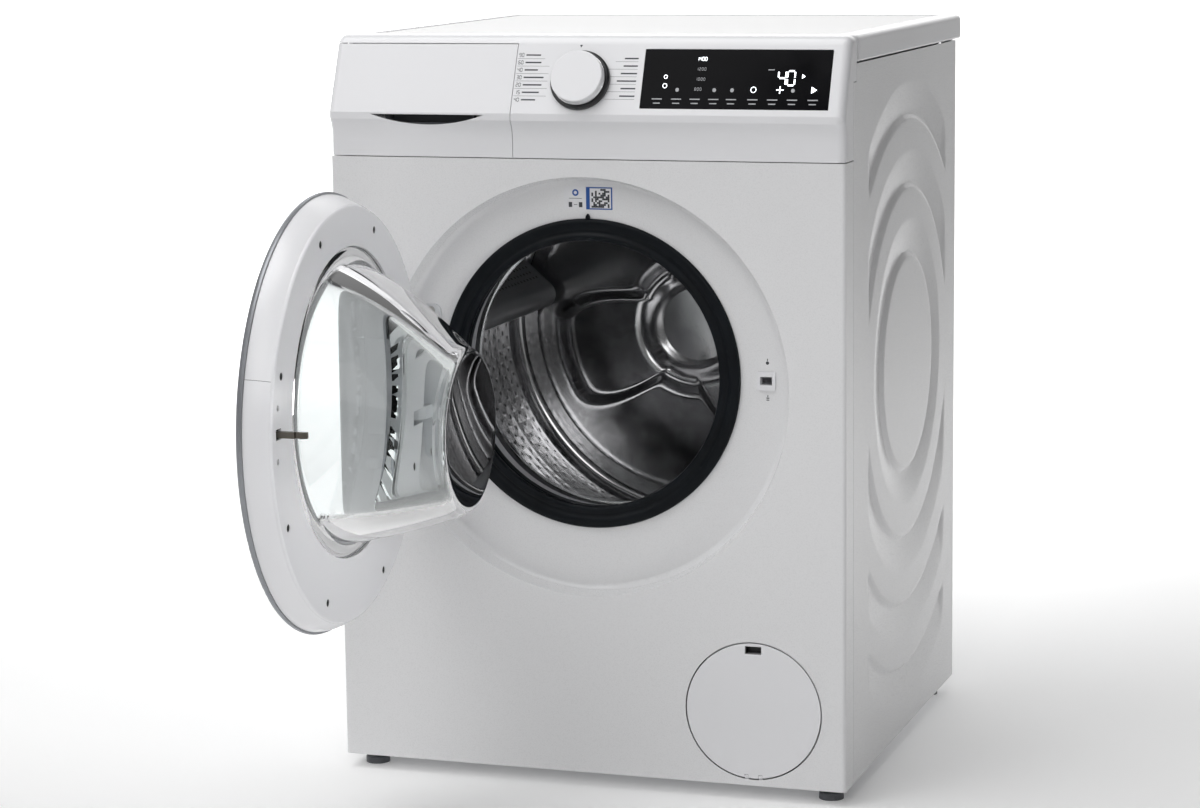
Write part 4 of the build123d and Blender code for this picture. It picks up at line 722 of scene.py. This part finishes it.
def paint_flap_pocket_shade():
    """Dark sheets on the back, side and top walls of the finger pocket in the service flap: painted shade."""
    batch = Batch()

    def at(u, v, w):
        return (u, 11.9 - w, v)
    x, z0, z1 = FLAP_X, FLAP_Z + 64.5, FLAP_Z + 73.6
    batch.prism(rect(x, (z0 + z1) / 2, 18.8, z1 - z0), 0.5, at)
    for u in (x - 9.2, x + 9.2):
        batch.prism(rect(u, (z0 + z1) / 2, 0.4, z1 - z0), 8.5, at)
    batch.prism(rect(x, z1 - 0.1, 18.8, 0.3), 8.5, at)
    # black sheets are painted shade in the pocket, not a real liner
    batch.piece("flap_pocket_painted_shade", BLACK_POLYMER, "flap", "black_polymer", smooth=False)


paint_flap_pocket_shade()


# ---- painted shade in the door's screw holes, and joint line of the door ------------------------
SCREW_R, SCREW_ANGLES = 205.0, (20, 68, 113, 155, 205, 246, 294, 335)


def screw_hole_painted_shade():
    """Dark tubes inside the eight screw holes of the door's inner face: painted shade, so the holes read
    dark.
    """
    batch = Batch()
    shade_tube = [(4.12, 7.2), (4.12, 15.9), (3.7, 15.9), (3.7, 7.2)]
    for angle in SCREW_ANGLES:
        a = math.radians(angle)
        x, z = SCREW_R * math.cos(a), DOOR_Z + SCREW_R * math.sin(a)
        points, faces = lathe(shade_tube, z, 24, x)
        batch.add(swing(points), faces)
    # the black tubes are painted shade inside the holes, not a real part
    batch.piece("screw_hole_painted_shade", BLACK_POLYMER, "door", "black_polymer")


screw_hole_painted_shade()


def rim_joint():
    """Hairline groove filler that crosses the door's rim a little above the latch."""
    angle = math.radians(17.6)
    side = np.array([-math.sin(angle), 0.0, math.cos(angle)])
    out = np.array([math.cos(angle), 0.0, math.sin(angle)])
    profile = [(DOOR_BACK - 3.2, 223.35), (9.0, 226.2), (3.0, 229.35), (-4.0, 232.0), (-10.6, 233.85)]
    points = []
    for depth, radius in profile:
        for lift in (-0.4, 0.06):
            for half in (-0.22, 0.22):
                spot = out * (radius + lift) + side * half
                points.append((spot[0], depth, DOOR_Z + spot[2]))
    faces = []
    for i in range(len(profile) - 1):
        a, b = 4 * i, 4 * i + 4
        faces += [(a, a + 1, b + 1, b), (a + 2, b + 2, b + 3, a + 3),
                  (a, b, b + 2, a + 2), (a + 1, a + 3, b + 3, b + 1)]
    end = 4 * (len(profile) - 1)
    faces += [(0, 2, 3, 1), (end, end + 1, end + 3, end + 2)]
    add_piece("rim_joint_line", swing(points), faces, PRINT, "door", "black_polymer", smooth=False)


rim_joint()


# ---- knob edge ----------------------------------------------------------------------------------
KNOB_X, KNOB_Z = -2.0, 799.5
EDGE_R, EDGE_LIFT, EDGE_THICK = 29.75, 8.0, 0.55     # bright line round the knob


def knob_edge():
    """Thin bright torus round the knob, parallel to the sloping face."""
    segments, sides = 96, 10
    centre = Vector(on_slope(EDGE_LIFT)(KNOB_X, KNOB_Z, 0.0))
    up = Vector((0, math.sin(TILT), math.cos(TILT)))
    normal = Vector((0, -math.cos(TILT), math.sin(TILT)))
    points = []
    for i in range(segments):
        a = 2 * math.pi * i / segments
        radial = Vector((math.cos(a), 0, 0)) + up * math.sin(a)
        for j in range(sides):
            b = 2 * math.pi * j / sides
            out = radial * (EDGE_R + EDGE_THICK * math.cos(b))
            points.append(tuple(centre + out + normal * EDGE_THICK * math.sin(b)))
    faces = grid_faces(segments, sides, wrap_rows=True, wrap_cols=True)
    add_piece("knob_edge", points, faces, CHROME, "knob", "stainless")


knob_edge()


# ---- floor, light and camera --------------------------------------------------------------------
# Metres from here on.
def stage_floor():
    """Pale floor that bends up into a backdrop, and glows a little towards the back and the left."""
    mesh = bpy.data.meshes.new("floor")
    half, back, rise, bend = 8.0, 5.4, 6.0, 1.6
    path = [(-9.0, 0.0)] + [(back - bend + bend * math.sin(t), bend - bend * math.cos(t))
                            for t in np.linspace(0, math.pi / 2, 16)] + [(back, rise)]
    points = [(x, y, z) for y, z in path for x in (-half, half)]
    mesh.from_pydata(points, [], grid_faces(len(path), 2, flip=True))
    mesh.shade_smooth()
    obj = bpy.data.objects.new("floor", mesh)
    bpy.context.collection.objects.link(obj)
    pale = surface("floor_mat", (0.95, 0.95, 0.95), 0.85, vary=0.002, grain=300.0)
    nodes, links = pale.node_tree.nodes, pale.node_tree.links
    bsdf = nodes["Principled BSDF"]
    split = nodes.new("ShaderNodeSeparateXYZ")
    links.new(nodes.new("ShaderNodeTexCoord").outputs["Object"], split.inputs["Vector"])
    behind = spread(nodes, links, split.outputs["Y"], 0.0, 1.0, -0.6, 2.2)
    left = spread(nodes, links, split.outputs["X"], 1.0, 0.0, 0.3, 1.5)
    both = nodes.new("ShaderNodeMath")
    both.operation = "MULTIPLY"
    links.new(behind, both.inputs[0])
    links.new(left, both.inputs[1])
    glow_map = two_tone(nodes, links, both.outputs[0], (0, 0, 0), (1, 1, 1), 0.0, 1.0)
    links.new(glow_map, bsdf.inputs["Emission Color"])
    bsdf.inputs["Emission Strength"].default_value = 0.9
    obj.data.materials.append(pale)


stage_floor()


def area_light(name, place_at, target, size, power, spread_deg):
    data = bpy.data.lights.new(name, "AREA")
    data.shape = "RECTANGLE"
    data.size, data.size_y = size, size
    data.energy = power
    data.spread = math.radians(spread_deg)
    obj = bpy.data.objects.new(name, data)
    bpy.context.collection.objects.link(obj)
    obj.location = place_at
    obj.rotation_euler = (Vector(target) - Vector(place_at)).to_track_quat("-Z", "Y").to_euler()


LIGHTS = (  # name, place, target, side of the square, power in watts, spread in degrees
    ("key_light", (-2.4, -3.2, 3.0), (0, 0, 0.5), 2.6, 28, 180),
    ("fill_light", (0.8, -2.1, 1.5), (-0.3, -0.5, 0.45), 1.1, 7, 180),
    ("door_light", (1.6, -0.9, 0.6), (-0.22, -0.52, 0.45), 0.5, 0.42, 26),
    ("top_light", (-0.7, -0.9, 3.4), (-0.1, 0, 0.4), 2.6, 56, 180),
)
for light in LIGHTS:
    area_light(*light)


def studio_world():
    """White surroundings that are brighter to the left."""
    world = bpy.data.worlds.new("studio")
    bpy.context.scene.world = world
    world.use_nodes = True
    nodes, links = world.node_tree.nodes, world.node_tree.links
    background = nodes["Background"]
    background.inputs["Color"].default_value = (1, 1, 1, 1)
    axes = nodes.new("ShaderNodeSeparateXYZ")
    links.new(nodes.new("ShaderNodeTexCoord").outputs["Generated"], axes.inputs["Vector"])
    dimmer = spread(nodes, links, axes.outputs["X"], 0.27, 0.045, -0.2, 0.7)
    links.new(dimmer, background.inputs["Strength"])


studio_world()


EYE, TARGET = Vector((1.12367, -3.54475, 1.01021)), Vector((0.01826, -0.275, 0.44197))
ROLL = math.radians(-0.74)
LENS_MM, SENSOR_MM = 94.3386, 36.0


def look_through():
    data = bpy.data.cameras.new("camera")
    obj = bpy.data.objects.new("camera", data)
    bpy.context.collection.objects.link(obj)
    forward = (TARGET - EYE).normalized()
    right = forward.cross(Vector((0, 0, 1))).normalized()
    up = right.cross(forward)
    rolled_right = right * math.cos(ROLL) + up * math.sin(ROLL)
    rolled_up = rolled_right.cross(forward)
    turn = Matrix((rolled_right, rolled_up, -forward)).transposed()
    obj.matrix_world = Matrix.Translation(EYE) @ turn.to_4x4()
    data.sensor_width = SENSOR_MM
    data.lens = LENS_MM
    data.clip_end = 50.0
    bpy.context.scene.camera = obj


look_through()
bpy.context.scene.view_settings.view_transform = "Standard"
